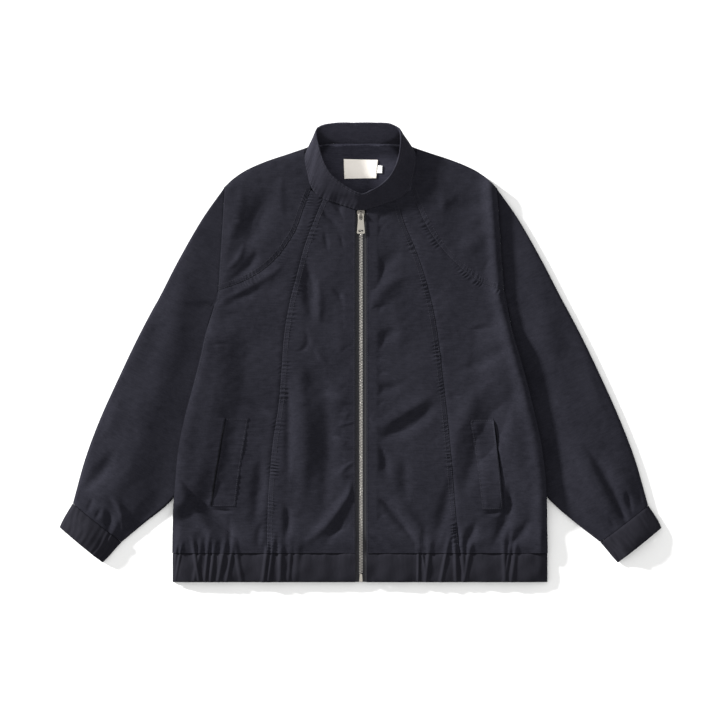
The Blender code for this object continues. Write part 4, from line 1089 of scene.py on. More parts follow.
class Wardrobe:
    """The finishes, each built once."""

    def __init__(self) -> None:
        """Builds every material."""
        self.body = TwillFinish("twill_body").build()
        # The back's inside carries painted light round the neck, where the collar shades it
        self.inside = TwillFinish("twill_inside", painted_neck_light=2.3).build()
        # Near-black twill: painted shadow in the pocket slits
        self.painted_slit_shadow = TwillFinish(
            "painted_slit_shadow_twill", dark=(0.0012, 0.0012, 0.0018), light=(0.0035, 0.0034, 0.0046)).build()
        # Painted light: the collar's colours are lighter than the body's twill, and its back wall carries a
        # painted brighter oval, where the low key leaves the collar in shade
        self.collar = TwillFinish(
            "twill_collar", dark=(0.0060, 0.0059, 0.0090), light=(0.0186, 0.0181, 0.0248),
            painted_neck_light=2.0, neck_y_mm=346.0, neck_radii_mm=(64.0, 27.0)).build()
        self.sleeve = {
            Side.LEFT: TwillFinish("twill_sleeve_left", turn=math.radians(24)).build(),
            Side.RIGHT: TwillFinish("twill_sleeve_right", turn=math.radians(-24)).build(),
        }
        self.band = TwillFinish(
            "twill_band", turn=math.radians(90), dark=(0.0056, 0.0055, 0.0080),
            light=(0.0125, 0.0121, 0.0162)).build()
        self.thread = ThreadFinish().build()
        self.tape = TapeFinish().build()
        self.label = LabelFinish().build()
        self.tab = LabelFinish("white_tab", base=(0.90, 0.90, 0.89), shade=(0.80, 0.80, 0.79)).build()
        self.metal = MetalFinish("nickel_zip").build()
        self.slider = MetalFinish(
            "nickel_slider", bright=(0.24, 0.225, 0.20), dull=(0.11, 0.10, 0.09), roughness=0.32).build()
        self.teeth = MetalFinish(
            "nickel_teeth", bright=(0.66, 0.64, 0.60), dull=(0.34, 0.32, 0.30), roughness=0.36).build()


# Mesh making
WELD = 0.00001  # points closer than this, in metres, become one
SHELL_EDGE = math.radians(50)


def deselect() -> None:
    """Deselects everything."""
    bpy.ops.object.select_all(action="DESELECT")


def pick(piece: Piece) -> None:
    """Selects a piece alone."""
    deselect()
    piece.select_set(True)
    bpy.context.view_layer.objects.active = piece


def settle(piece: Piece, name: str, finish: Material) -> Piece:
    """Names a piece, puts its place in its mesh and gives it its finish."""
    pick(piece)
    bpy.ops.object.transform_apply(location=True, rotation=True, scale=True)
    piece.name = name
    piece.data.name = name
    piece.data.materials.clear()
    piece.data.materials.append(finish)
    bpy.ops.object.shade_smooth()
    return piece


def apply_modifier(piece: Piece, kind: str, **settings: Any) -> None:
    """Adds a modifier with its settings and applies it."""
    pick(piece)
    bpy.ops.object.modifier_add(type=kind)
    modifier = piece.modifiers[-1]
    for key, value in settings.items():
        setattr(modifier, key, value)
    bpy.ops.object.modifier_apply(modifier=modifier.name)


def grid_sheet(name: str, points: Array, finish: Material, thickness: float = 0.0,
               closed: bool = False) -> Piece:
    """A cloth shell laid through rows of points.

    Args:
        name: the piece's name.
        points: rows and columns of points, in millimetres.
        finish: its material.
        thickness: the shell's thickness, below the points.
        closed: whether the last column meets the first, as on a tube.

    Returns:
        The piece.
    """
    cell = np.cross(points[1, 0] - points[0, 0], points[0, 1] - points[0, 0])
    if not closed and cell[2] > 0:
        points = points[:, ::-1]
    rows, columns = points.shape[:2]
    deselect()
    bpy.ops.mesh.primitive_grid_add(x_subdivisions=columns - 1, y_subdivisions=rows - 1, size=1)
    piece = bpy.context.active_object
    piece.data.vertices.foreach_set("co", (points * MM).reshape(-1).astype(np.float32))
    piece.data.update()
    if closed:
        bpy.ops.object.mode_set(mode="EDIT")
        bpy.ops.mesh.select_all(action="SELECT")
        bpy.ops.mesh.remove_doubles(threshold=WELD)
        bpy.ops.mesh.normals_make_consistent(inside=False)
        bpy.ops.object.mode_set(mode="OBJECT")
    settle(piece, name, finish)
    if thickness:
        apply_modifier(piece, "SOLIDIFY", thickness=thickness * MM, offset=-1.0, use_rim=True)
        above_floor(piece)
        bpy.ops.object.shade_smooth_by_angle(angle=SHELL_EDGE)
    return piece


def above_floor(piece: Piece) -> None:
    """Lifts to the floor what the shell's thickness pushed under it."""
    coordinates = np.empty(3 * len(piece.data.vertices), np.float32)
    piece.data.vertices.foreach_get("co", coordinates)
    coordinates[2::3] = np.maximum(coordinates[2::3], 0)
    piece.data.vertices.foreach_set("co", coordinates)


def panel_points(starts: Array, ends: Array, across: Array, top: Callable[[Array, Array], Array]) -> Array:
    """Points of a panel whose rows run straight between two seams, at the height of the cloth there."""
    plan = starts[:, None, :] + (ends - starts)[:, None, :] * across[None, :, None]
    x, y = plan[..., 0], plan[..., 1]
    return np.dstack([x, y, top(x, y)])


class Cut(NamedTuple):
    """The flat cut of a piece, in metres and square metres."""

    width: float
    length: float
    area: float


def plan_cut(points: Array, layers: float = 1.0) -> Cut:
    """The flat cut of a piece, from its outline in the plan and not from its folds.

    Args:
        points: rows and columns of points, in millimetres.
        layers: how many times the cloth covers its plan width: 2 on a flattened tube, over 1 where it is
            gathered.

    Returns:
        The cut.
    """
    plan = points[..., :2] * MM
    across = np.linalg.norm(np.diff(plan, axis=1), axis=2).sum(axis=1).max()
    down = np.linalg.norm(np.diff(plan, axis=0), axis=2).sum(axis=0).max()
    first, second = plan[1:, 1:] - plan[:-1, :-1], plan[1:, :-1] - plan[:-1, 1:]
    area = 0.5 * np.abs(first[..., 0] * second[..., 1] - first[..., 1] * second[..., 0]).sum()
    return Cut(float(across) * layers, float(down), float(area) * layers)


def gather_share(side: Side, half_width: float) -> float:
    """How many times longer the hem's cloth is than its seam, from the heights of its gathers."""
    x = np.linspace(-half_width, half_width, 4001)
    height = gather_wave(x, np.zeros(len(x)), side)
    run = np.hypot(np.diff(x), np.diff(height)).sum() - np.diff(x).sum()
    return 1.0 + float(run) / half_width


def lay_sheet(piece: Piece, cut: Cut) -> None:
    """Logs a piece's flat cut as a sheet of cloth.

    Args:
        piece: the sheet.
        cut: its flat cut; rounding must not carry the area past the product of its sides.
    """
    min(cut.area, cut.width * cut.length)
    LOG.info("%s cut %.0f x %.0f mm, %.4f m2", piece.name, cut.width / MM, cut.length / MM, cut.area)


def drawn_in(starts: Array, ends: Array, gap: float) -> tuple[Array, Array]:
    """Both seams of a panel, moved towards each other by a gap."""
    run = ends - starts
    unit = run / np.linalg.norm(run, axis=1, keepdims=True)
    return starts + unit * gap, ends - unit * gap


def copies(name: str, template: Piece, places: Array, along: Array, up: Array,
           finish: Material) -> Piece:
    """One mesh of many turned copies of a template.

    Args:
        name: the piece's name.
        template: the object that is repeated, removed afterwards.
        places: where the copies go, in millimetres.
        along: each copy's +X direction.
        up: each copy's +Z direction, about.
        finish: the material.

    Returns:
        The piece.
    """
    base = np.array([v.co[:] for v in template.data.vertices])
    loops = [list(p.vertices) for p in template.data.polygons]
    bpy.data.objects.remove(template, do_unlink=True)
    x_axis = along / np.linalg.norm(along, axis=1, keepdims=True)
    y_axis = np.cross(up, x_axis)
    y_axis /= np.linalg.norm(y_axis, axis=1, keepdims=True)
    z_axis = np.cross(x_axis, y_axis)
    points = (places[:, None] * MM + base[None, :, :1] * x_axis[:, None]
              + base[None, :, 1:2] * y_axis[:, None] + base[None, :, 2:] * z_axis[:, None]).reshape(-1, 3)
    faces = [[i + k * len(base) for i in loop] for k in range(len(places)) for loop in loops]
    mesh = bpy.data.meshes.new(name)
    mesh.from_pydata(points.tolist(), [], faces)
    piece = bpy.data.objects.new(name, mesh)
    bpy.context.scene.collection.objects.link(piece)
    return settle(piece, name, finish)


@dataclass
class Stitching:
    """A sewing machine: rows of short thread capsules that lie on the cloth."""

    finish: Material
    pitch: float = 3.2
    length: float = 2.5
    thread: float = 0.62
    rows: list[tuple[Array, Array]] = field(default_factory=list)

    def run(self, path: Array, normals: Array | None = None) -> None:
        """Adds a row of stitches along a path that lies on the cloth."""
        if normals is None:
            normals = np.tile([0.0, 0.0, 1.0], (len(path), 1))
        rows = resampled(np.column_stack([path, normals]), (0, 1, 2), self.pitch)
        self.rows.append((rows[:, :3], rows[:, 3:]))

    def build(self, name: str) -> Piece:
        """Joins all rows into one piece."""
        deselect()
        bpy.ops.mesh.primitive_uv_sphere_add(segments=6, ring_count=4, radius=0.5)
        template = bpy.context.active_object
        coordinates = np.array([v.co[:] for v in template.data.vertices])
        x = coordinates[:, 2].copy()
        shaped = np.column_stack([
            np.sign(x) * np.abs(x * 2) ** 0.6 * 0.5 * self.length,
            coordinates[:, 0] * self.thread, coordinates[:, 1] * self.thread * 0.8]) * MM
        template.data.vertices.foreach_set("co", shaped.reshape(-1).astype(np.float32))
        starts = np.concatenate([p[:-1] for p, _ in self.rows])
        ends = np.concatenate([p[1:] for p, _ in self.rows])
        normals = np.concatenate([n[:-1] for _, n in self.rows])
        middle = 0.5 * (starts + ends) + normals * self.thread * 0.12
        return copies(name, template, middle, ends - starts, normals, self.finish)


def on_cloth(plan: Array) -> Array:
    """Plan points raised to the fronts' surface."""
    return np.column_stack([plan, LAY.front_top(plan[:, 0], plan[:, 1])])


def beside(curve: Array, distance: float) -> Array:
    """A curve shifted sideways in the plan, to its left for a positive distance."""
    run = np.gradient(curve, axis=0)
    run /= np.linalg.norm(run, axis=1, keepdims=True)
    return curve + distance * np.column_stack([-run[:, 1], run[:, 0]])


def declare(piece: Piece, body: Body, slot: Slot, *nodes: str) -> None:
    """Lets a piece ride on a body and take the place of CAD nodes."""
    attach(piece, body.value)
    if nodes:
        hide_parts(*nodes)


@dataclass
class Back:
    """The back panel and its hem band."""

    wardrobe: Wardrobe
    columns: int = 60
    rows: int = 64
    past_seam: float = 0.6
    thickness: float = LAY.back_cloth - 0.1
    crease: float = 0.45
    crease_x: tuple[float, float] = (5.6, -4.0)
    crease_width: float = 8.0
    crease_start: tuple[float, float] = (225.0, 245.0)
    crease_end: tuple[float, float] = (262.0, 270.0)

    def build(self) -> None:
        """Lays both pieces."""
        top = np.array([tuple(p) for p in (SHOULDER[Side.LEFT][::-1] + BACK_NECK + SHOULDER[Side.RIGHT])])
        upper = resampled(top, (0, 1), 6.0)
        across = np.linspace(0, 1, self.columns)
        index = np.linspace(0, len(upper) - 1, self.columns)
        upper = np.column_stack([np.interp(index, np.arange(len(upper)), upper[:, k]) for k in (0, 1)])
        left, right = (SIDE_FRONT[side][-1].outer_x for side in Side)
        lower = np.column_stack([left + (right - left) * across, np.full(self.columns, LAY.hem_seam_y)])
        down = np.linspace(0, 1, self.rows)
        edges = []
        for side, column in ((Side.LEFT, 0), (Side.RIGHT, -1)):
            y = upper[column, 1] + (LAY.hem_seam_y - upper[column, 1]) * down
            edges.append(np.column_stack([table_x(LAY.arm_curve(side), y) + side.sign * self.past_seam, y]))
        u, v = across[None, :, None], down[:, None, None]
        plan = (1 - v) * upper[None] + v * lower[None]
        plan = plan + (1 - u) * edges[0][:, None] + u * edges[1][:, None]
        plan = plan - (1 - u) * ((1 - v) * upper[0] + v * lower[0])
        plan = plan - u * ((1 - v) * upper[-1] + v * lower[-1])
        x, y = plan[..., 0], plan[..., 1]
        crease = self.crease * sum(bump(x - spot, self.crease_width) for spot in self.crease_x)
        crease = crease * ramp(y, *self.crease_start) * (1 - ramp(y, *self.crease_end))
        points = np.dstack([x, y, LAY.tuck(x, y) + LAY.back_cloth + crease])
        panel = grid_sheet("back_cloth", points, self.wardrobe.inside, self.thickness)
        declare(panel, Body.GARMENT, Slot.TWILL, "back")
        lay_sheet(panel, plan_cut(points))
        xs = np.linspace(left + 0.3, right - 0.3, 120)
        ys = np.linspace(LAY.hem_seam_y - 0.4, LAY.hem_y, 9)
        band_x, band_y = np.meshgrid(xs, ys)
        band_points = np.dstack([band_x, band_y, np.full(band_x.shape, LAY.back_cloth)])
        band = grid_sheet("back_hem_band", band_points, self.wardrobe.band, self.thickness)
        declare(band, Body.GARMENT, Slot.TWILL, "hem_back")
        lay_sheet(band, plan_cut(band_points))


@dataclass
class Fronts:
    """Both halves of the front: yokes, side fronts and centre fronts."""

    wardrobe: Wardrobe
    stitching: Stitching
    shell: float = 1.5
    seam_gap: float = 0.14
    row_step: float = 1.3
    edge_offset: float = 8.4
    needles: tuple[float, float] = (1.6, 7.4)
    arm_needle: float = 2.2
    edge_needle: float = 2.0
    edge_top_y: float = 216.0

    def panel(self, kind: str, side: Side, starts: Array, ends: Array, across: Array) -> None:
        """Args:
            kind: which panel.
            side: the half.
            starts: points of its first seam.
            ends: points of its second seam.
            across: shares of the way between them.
        """
        points = panel_points(*drawn_in(starts, ends, self.seam_gap), across, LAY.front_top)
        piece = grid_sheet(f"{kind}_cloth_{side.value}", points, self.wardrobe.body, self.shell)
        declare(piece, Body.GARMENT, Slot.TWILL, f"{kind}_{side.value}")
        lay_sheet(piece, plan_cut(points))

    def yoke(self, side: Side) -> None:
        """The shoulder yoke, from its curved seam up to the shoulder."""
        seam = LAY.yoke_seam(side, 22)
        shoulder = smooth_rows(SHOULDER[side], 22)
        self.panel("yoke", side, seam, shoulder, spaced(150, 1.5, 2.4, 12))

    def side_front(self, side: Side) -> None:
        """The side front, from the neck to the hem band."""
        fine = smooth_rows(SIDE_FRONT[side], 27, corners=(YOKE_CORNER,))
        starts = np.column_stack([table_x(PRINCESS[side], fine[:, 0]), fine[:, 0]])
        self.panel("side_front", side, starts, fine[:, 1:], spaced(145, 1.5, 2.3, 8))

    def centre_front(self, side: Side) -> None:
        """The centre front, between the princess seam and the zip."""
        rows = resampled(smooth_rows(CENTRE_FRONT, 8), (1,), self.row_step)
        starts = np.column_stack([table_x(PRINCESS[side], rows[:, 0]), rows[:, 0]])
        ends = np.column_stack([np.full(len(rows), LAY.zip_x + side.sign * self.edge_offset), rows[:, 1]])
        self.panel("centre_front", side, starts, ends, spaced(130, 1.5, 3.2, 10))

    def topstitch(self, side: Side) -> None:
        """Rows of topstitching along the seams and the front edge."""
        princess = smooth_rows(PRINCESS[side], 10)
        for away in self.needles:
            self.stitching.run(on_cloth(princess - [side.sign * away, 0]))
        seam = LAY.yoke_seam(side, 10)
        inside = -side.sign
        for away in self.needles:
            self.stitching.run(on_cloth(beside(seam, -inside * away)))
        arm = smooth_rows(LAY.arm_curve(side)[:6], 10)
        self.stitching.run(on_cloth(arm - [side.sign * self.arm_needle, 0]))
        edge_x = LAY.zip_x + side.sign * (self.edge_offset + self.edge_needle)
        y = np.linspace(self.edge_top_y, LAY.hem_seam_y + self.edge_needle, 200)
        self.stitching.run(on_cloth(np.column_stack([np.full(len(y), edge_x), y])))

    def build(self) -> None:
        """Lays all six pieces and sews them."""
        for side in Side:
            self.yoke(side)
            self.side_front(side)
            self.centre_front(side)
            self.topstitch(side)


@dataclass
class Pockets:
    """The slanted welts on the side fronts."""

    wardrobe: Wardrobe
    stitching: Stitching
    thickness: float = 0.6
    step: float = 1.5
    slit_width: float = 2.4
    slit_taper: float = 30.0
    needle: float = 2.0
    # How high the welt lies, and the share of it on the left, where the welt is flatter
    rise: tuple[float, float] = (0.7, 1.1)
    lip: float = 0.6
    lip_run: float = 8.0
    left_share: float = 0.2
    roll: float = 0.5
    roll_run: float = 1.2
    ripple: float = 0.2
    ripple_pitch: float = 8.3
    ripple_run: float = 15.0

    def outline(self, side: Side, y: Array) -> tuple[Array, Array]:
        """The welt's inner and outer x at y."""
        heights = [-w.y for w in WELT[side]]
        inner = np.interp(-y, heights, [w.inner_x for w in WELT[side]])
        outer = np.interp(-y, heights, [w.outer_x for w in WELT[side]])
        return inner, outer

    def top(self, x: Array, y: Array, inner: Array, outer: Array, side: Side) -> Array:
        """Height of the welt: raised at its opening, flat at its sewn edge."""
        rows = WELT[side]
        from_open, from_sewn = np.abs(x - outer), np.abs(x - inner)
        from_end = np.minimum(rows[0].y - y, y - rows[-1].y)
        raised = self.left_share if side is Side.LEFT else 1.0
        rise = self.rise[0] + self.rise[1] * raised * ramp(from_sewn, 0, 10) * ramp(from_end, 0, 7)
        rise = rise + self.lip * raised * np.exp(-from_open / self.lip_run) * ramp(from_end, 0, 20)
        roll = self.roll * np.exp(-from_open / self.roll_run)
        wander = Swell(0.4, 26, 33 + side.sign, 4).at(x * 0.3, y)
        wave = np.sin(2 * math.pi * (y / self.ripple_pitch + wander))
        ripple = self.ripple * wave * np.exp(-from_sewn / self.ripple_run)
        ripple = ripple + Swell(0.3, 17, 31 + side.sign).at(x * 0.4, y)
        return self.cloth_under(x, y) + rise - roll + ripple * ramp(from_end, 0, 8)

    def cloth_under(self, x: Array, y: Array) -> Array:
        """Height of the front under the welt, without its own slit and puckers."""
        return LAY.front_top(x, y) - LAY.pockets(x, y)

    def painted_slit_shadow(self, side: Side) -> Piece:
        """Painted shadow: a near-black strip in the slit along the welt's open edge, standing in for the
        shade inside the pocket opening.
        """
        rows = WELT[side]
        y = np.arange(rows[0].y + 1.0, rows[-1].y - 1.1, -self.step)
        _, outer = self.outline(side, y)
        share = np.minimum(1, np.minimum(y[0] - y, y - y[-1]) / self.slit_taper + 0.15)
        across = np.linspace(-0.3, 1, 5)
        x = outer[:, None] + side.sign * self.slit_width * (share[:, None] * across[None])
        yy = np.broadcast_to(y[:, None], x.shape)
        z = LAY.front_top(x, yy) + 0.3 - 0.25 * np.abs(across[None])
        piece = grid_sheet("pocket_painted_slit_shadow_" + side.value, np.dstack([x, yy, z]), self.wardrobe.painted_slit_shadow, 0.4)
        declare(piece, Body.GARMENT, Slot.TWILL)
        return piece

    def build(self) -> None:
        """Lays both welts and sews them."""
        for side in Side:
            rows = WELT[side]
            y = np.arange(rows[0].y, rows[-1].y - 0.1, -self.step)
            inner, outer = self.outline(side, y)
            across = spaced(36, 0.9, 2.2, 4)
            x = inner[:, None] + (outer - inner)[:, None] * across[None]
            yy = np.broadcast_to(y[:, None], x.shape)
            z = self.top(x, yy, inner[:, None], outer[:, None], side)
            points = np.dstack([x, yy, z])
            piece = grid_sheet("pocket_welt_" + side.value, points, self.wardrobe.body, self.thickness)
            declare(piece, Body.GARMENT, Slot.TWILL, "welt_" + side.value)
            # A near-black strip in the slit: painted shadow of the pocket opening
            painted_slit_shadow = self.painted_slit_shadow(side)
            lay_sheet(piece, plan_cut(points))
            y = np.linspace(rows[0].y - 2, rows[-1].y + 2, 60)
            inner, outer = self.outline(side, y)
            for x in (inner + side.sign * self.needle, outer - side.sign * self.needle):
                self.stitching.run(np.column_stack([x, y, self.top(x, y, inner, outer, side)]))
            for end in (0, -1):
                x = np.linspace(inner[end] + side.sign * self.needle,
                                outer[end] - side.sign * self.needle, 14)
                row, first, last = (np.full(len(x), place[end]) for place in (y, inner, outer))
                self.stitching.run(np.column_stack([x, row, self.top(x, row, first, last, side)]))


@dataclass
class HemBand:
    """The front hem band, gathered in clusters by its elastic."""

    wardrobe: Wardrobe
    shell: float = 1.5
    edge_offset: float = 8.4
    step: float = 1.3
    seam_gap: float = 0.35
    crown: float = 1.6
    swells: tuple[Swell, ...] = (Swell(0.4, 12, 42), Swell(0.45, 26, 43))
    seam_swell: Swell = Swell(0.3, 6, 44)
    seam_run: float = 7.0
    # How much lower the band is at its seam and at its lower edge, and over what length
    seam_edge: tuple[float, float] = (1.0, 2.0)
    lower_edge: tuple[float, float] = (0.9, 1.8)

    def top(self, x: Array, v: Array, side: Side) -> Array:
        """Height of the band.

        Args:
            x: places across.
            v: 0 at the seam and 1 at the lower edge.
            side: the half.

        Returns:
            Heights.
        """
        outer = np.abs(x - SIDE_FRONT[side][-1].outer_x)
        level = LAY.back_cloth + LAY.layer_gap + LAY.front_rise * (1 - np.exp(-outer / LAY.roll_length))
        level = level + self.crown * np.sin(math.pi * v) * ramp(outer, 0, 14)
        down = v * BAND_HEIGHT
        level = level + gather_wave(x, down, side) * ramp(outer, 0, 8)
        fine, broad = self.swells
        level = level + (fine.at(x, v * 16) + broad.at(x, down)) * ramp(outer, 0, 10)
        level = level + self.seam_swell.at(x, 0 * v) * np.exp(-down / self.seam_run) * ramp(outer, 0, 10)
        least = LAY.back_cloth + LAY.layer_gap + LAY.zip_rise(x)
        seam, lower = self.seam_edge, self.lower_edge
        edge = seam[0] * np.exp(-down / seam[1]) + lower[0] * np.exp(-(1 - v) * BAND_HEIGHT / lower[1])
        return np.maximum(level, least) + LAY.front_cloth - edge

    def build(self) -> None:
        """Lays both halves."""
        for side in Side:
            outer = SIDE_FRONT[side][-1].outer_x - side.sign * 0.2
            inner = LAY.zip_x + side.sign * (self.edge_offset + 0.2)
            x = np.linspace(outer, inner, int(abs(outer - inner) / self.step))
            v = np.concatenate([[0, 0.02, 0.045, 0.08], np.linspace(0.12, 0.88, 16), [0.92, 0.955, 0.98, 1]])
            xx, vv = np.meshgrid(x, v)
            y = LAY.hem_seam_y - self.seam_gap + (LAY.hem_y - LAY.hem_seam_y + self.seam_gap) * vv
            points = np.dstack([xx, y, self.top(xx, vv, side)])
            piece = grid_sheet("hem_band_" + side.value, points, self.wardrobe.band, self.shell)
            declare(piece, Body.GARMENT, Slot.TWILL, "hem_" + side.value)
            lay_sheet(piece, plan_cut(points, gather_share(side, abs(outer))))


@dataclass
class Tube:
    """A flattened cloth tube: rings with a flat underside, a rounded fold at both edges and a raised top."""

    cloth: float = 2.0
    edge_gap: float = 0.8
    gap: float = 4.4
    free: float = 75.0
    top_count: int = 70
    under_count: int = 14
    margin: float = 3.0

    def ring(self, section: Array, wave: Callable[[Array], Array], level: Callable[[Array, Array], Array],
             bow: Callable[[Array], Array]) -> Array:
        """Points round one ring, along the underside and back over the top.

        Args:
            section: out_x, out_y, in_x, in_y and puff.
            wave: gathers at a place across the ring.
            level: folds at a place in the plan.
            bow: bends plan points of the ring.

        Returns:
            The ring's points; the last one repeats the first.
        """
        out, inn = section[:2], section[2:4]
        run = out - inn
        length = float(np.linalg.norm(run))
        unit = run / length
        t_under = np.linspace(0, 1, self.under_count)
        t_top = 0.5 - 0.5 * np.cos(math.pi * np.linspace(0.1, 0.9, self.top_count))
        t_top = (t_top - t_top[0]) / (t_top[-1] - t_top[0])
        span = length - 2 * self.margin
        under = bow(inn[None] + unit[None] * (self.margin + span * t_under)[:, None])
        top = bow(inn[None] + unit[None] * (self.margin + span * t_top)[:, None])
        edge = by_side(top[:, 0], LAY.body_edge(top[:, 1]))
        free = ramp(np.abs(top[:, 0]) - edge, -2, self.free)
        full = np.sqrt(np.maximum(np.sin(math.pi * np.maximum(t_top, 0.5)), 0)) * ramp(t_top, 0, 0.2)
        height = 2 * self.cloth + self.edge_gap + wave(t_top)
        height = height + free * (self.gap * full + section[4] * np.sin(math.pi * t_top) ** 2)
        fade = ramp(t_top, 0, 0.12) * (1 - ramp(t_top, 0.88, 1))
        height = height + free * fade * level(top[:, 0], top[:, 1])
        points = [np.column_stack([under, np.zeros(len(under))])]
        angles = np.linspace(-math.pi / 2, math.pi / 2, 7)[1:-1]
        points.append(self.fold(out, unit, height[-1], angles, bow))
        points.append(np.column_stack([top, height])[::-1])
        points.append(self.fold(inn, -unit, height[0], angles, bow)[::-1])
        ring = np.concatenate(points)
        return np.concatenate([ring, ring[:1]])

    def fold(self, tip: Array, unit: Array, top: float, angles: Array,
             bow: Callable[[Array], Array]) -> Array:
        """Points round the folded edge of a ring, from its underside to its top."""
        depth = self.margin * (1 - np.cos(angles))
        z = top * (0.5 + 0.5 * np.sin(angles))
        return np.column_stack([bow(tip[None] - unit[None] * depth[:, None]), z])


@dataclass
class Sleeves:
    """Both sleeves."""

    wardrobe: Wardrobe
    tube: Tube = field(default_factory=Tube)
    shell: float = 1.4
    steps: int = 26
    seam_step: float = 0.8
    bent_rows: float = 4.0
    broad: Swell = Swell(0.3, 38, 61)
    fine: Swell = Swell(0.1, 16, 62)
    wrinkles: Wrinkles = Wrinkles(63, 90, (215, -300), (450, 240))

    def sections(self, side: Side) -> Array:
        """The sleeve's rings."""
        rows = smooth_rows(SLEEVE[side], self.steps)
        rows[0, 0] += side.sign * self.seam_step
        return rows

    def bent(self, plan: Array, side: Side, share: float, head: Array, foot: Array) -> Array:
        """Bends plan points of a ring to the armhole seam, and at its foot in under the body.

        Args:
            plan: the points.
            side: the half.
            share: how much of the bend the ring takes.
            head: the first ring's upper end.
            foot: its lower end.

        Returns:
            The bent points.
        """
        x, y = plan[:, 0], plan[:, 1]
        step = side.sign * self.seam_step
        chord = foot[0] + (head[0] - foot[0]) * (y - foot[1]) / (head[1] - foot[1])
        turn = np.maximum(0, (LAY.tuck_top - y) / (LAY.tuck_top - foot[1])) ** 2
        seam = table_x(LAY.arm_curve(side), y) + step
        seam = seam + (foot[0] - float(table_x(LAY.arm_curve(side), foot[1])) - step) * turn
        inside = (y > foot[1]) & (y < head[1])
        return np.column_stack([x + share * np.where(inside, seam - chord, 0), y])

    def level(self, x: Array, y: Array) -> Array:
        """Folds and creases of the sleeves."""
        folds = folds_at(x, y, SLEEVE_FOLDS) + folds_at(x, y, SLEEVE_CREASES)
        return folds + self.broad.at(x, y) + self.fine.at(x, y) + self.wrinkles.at(np.abs(x), y)

    def build(self) -> None:
        """Lays both sleeves."""
        for side in Side:
            rows = self.sections(side)
            head, foot = rows[0, :2], rows[0, 2:4]
            rings = []
            for k, row in enumerate(rows):
                share = 1 - float(ramp(k / self.steps, 0, self.bent_rows))
                bow = partial(self.bent, side=side, share=share, head=head, foot=foot)
                rings.append(self.tube.ring(row, lambda t: 0 * t, self.level, bow))
            piece = grid_sheet("sleeve_cloth_" + side.value, np.array(rings), self.wardrobe.sleeve[side],
                               self.shell, closed=True)
            declare(piece, Body.GARMENT, Slot.TWILL, "sleeve_" + side.value)
            lay_sheet(piece, plan_cut(rows[:, :4].reshape(-1, 2, 2), 2.0))


@dataclass
class Cuffs:
    """Both gathered cuffs."""

    wardrobe: Wardrobe
    tube: Tube = field(default_factory=lambda: Tube(gap=5.4, top_count=90, under_count=12))
    gathers: float = 9.0
    crowding: float = 0.8
    left_phase: float = 0.3
    gather_height: float = 0.42
    ripple: float = 0.35
    width: float = 90.0
    depth: float = 43.0
    shell: float = 1.4
    step: float = 1.6

    def wave(self, t: Array, v: float, side: Side) -> Array:
        """Gathers of the cuff, more of them towards its inner edge, less the dip at both seams.

        Args:
            t: 0 at the ring's inner end and 1 at its outer end.
            v: 0 at the sleeve and 1 at the cuff's edge.
            side: the half.

        Returns:
            Heights.
        """
        dip = 0.9 * math.exp(-v * self.depth / 2.0) + 0.5 * math.exp(-(1 - v) * self.depth / 2.0)
        across, level = t * self.width, np.ones(np.shape(t))
        strength = (1 - 0.75 * t) * (0.85 + Swell(0.4, 15, 73 + side.sign, 5).at(across, 0 * t))
        phase = self.left_phase if side is Side.LEFT else 0.0
        turn = self.gathers * t**self.crowding + phase + 0.25 * math.sin(3.0 * v + side.sign)
        turn = turn + Swell(0.35, 22, 75 + side.sign, 5).at(across, v * 30 * level)
        ripple = Swell(self.ripple, 9, 71 + side.sign).at(across, v * 20 * level)
        return self.gather_height * strength * (1 + np.cos(2 * math.pi * turn)) + ripple * strength - dip

    def build(self) -> None:
        """Lays both cuffs."""
        for side in Side:
            rows = resampled(smooth_rows(CUFF[side], 8), (0, 1), self.step)
            rings = []
            for k, row in enumerate(rows):
                wave = partial(self.wave, v=k / (len(rows) - 1), side=side)
                rings.append(self.tube.ring(row, wave, lambda x, y: 0 * x, lambda plan: plan))
            piece = grid_sheet("cuff_cloth_" + side.value, np.array(rings), self.wardrobe.band,
                               self.shell, closed=True)
            declare(piece, Body.GARMENT, Slot.TWILL, "cuff_" + side.value)
            lay_sheet(piece, plan_cut(rows[:, :4].reshape(-1, 2, 2), 2.0))


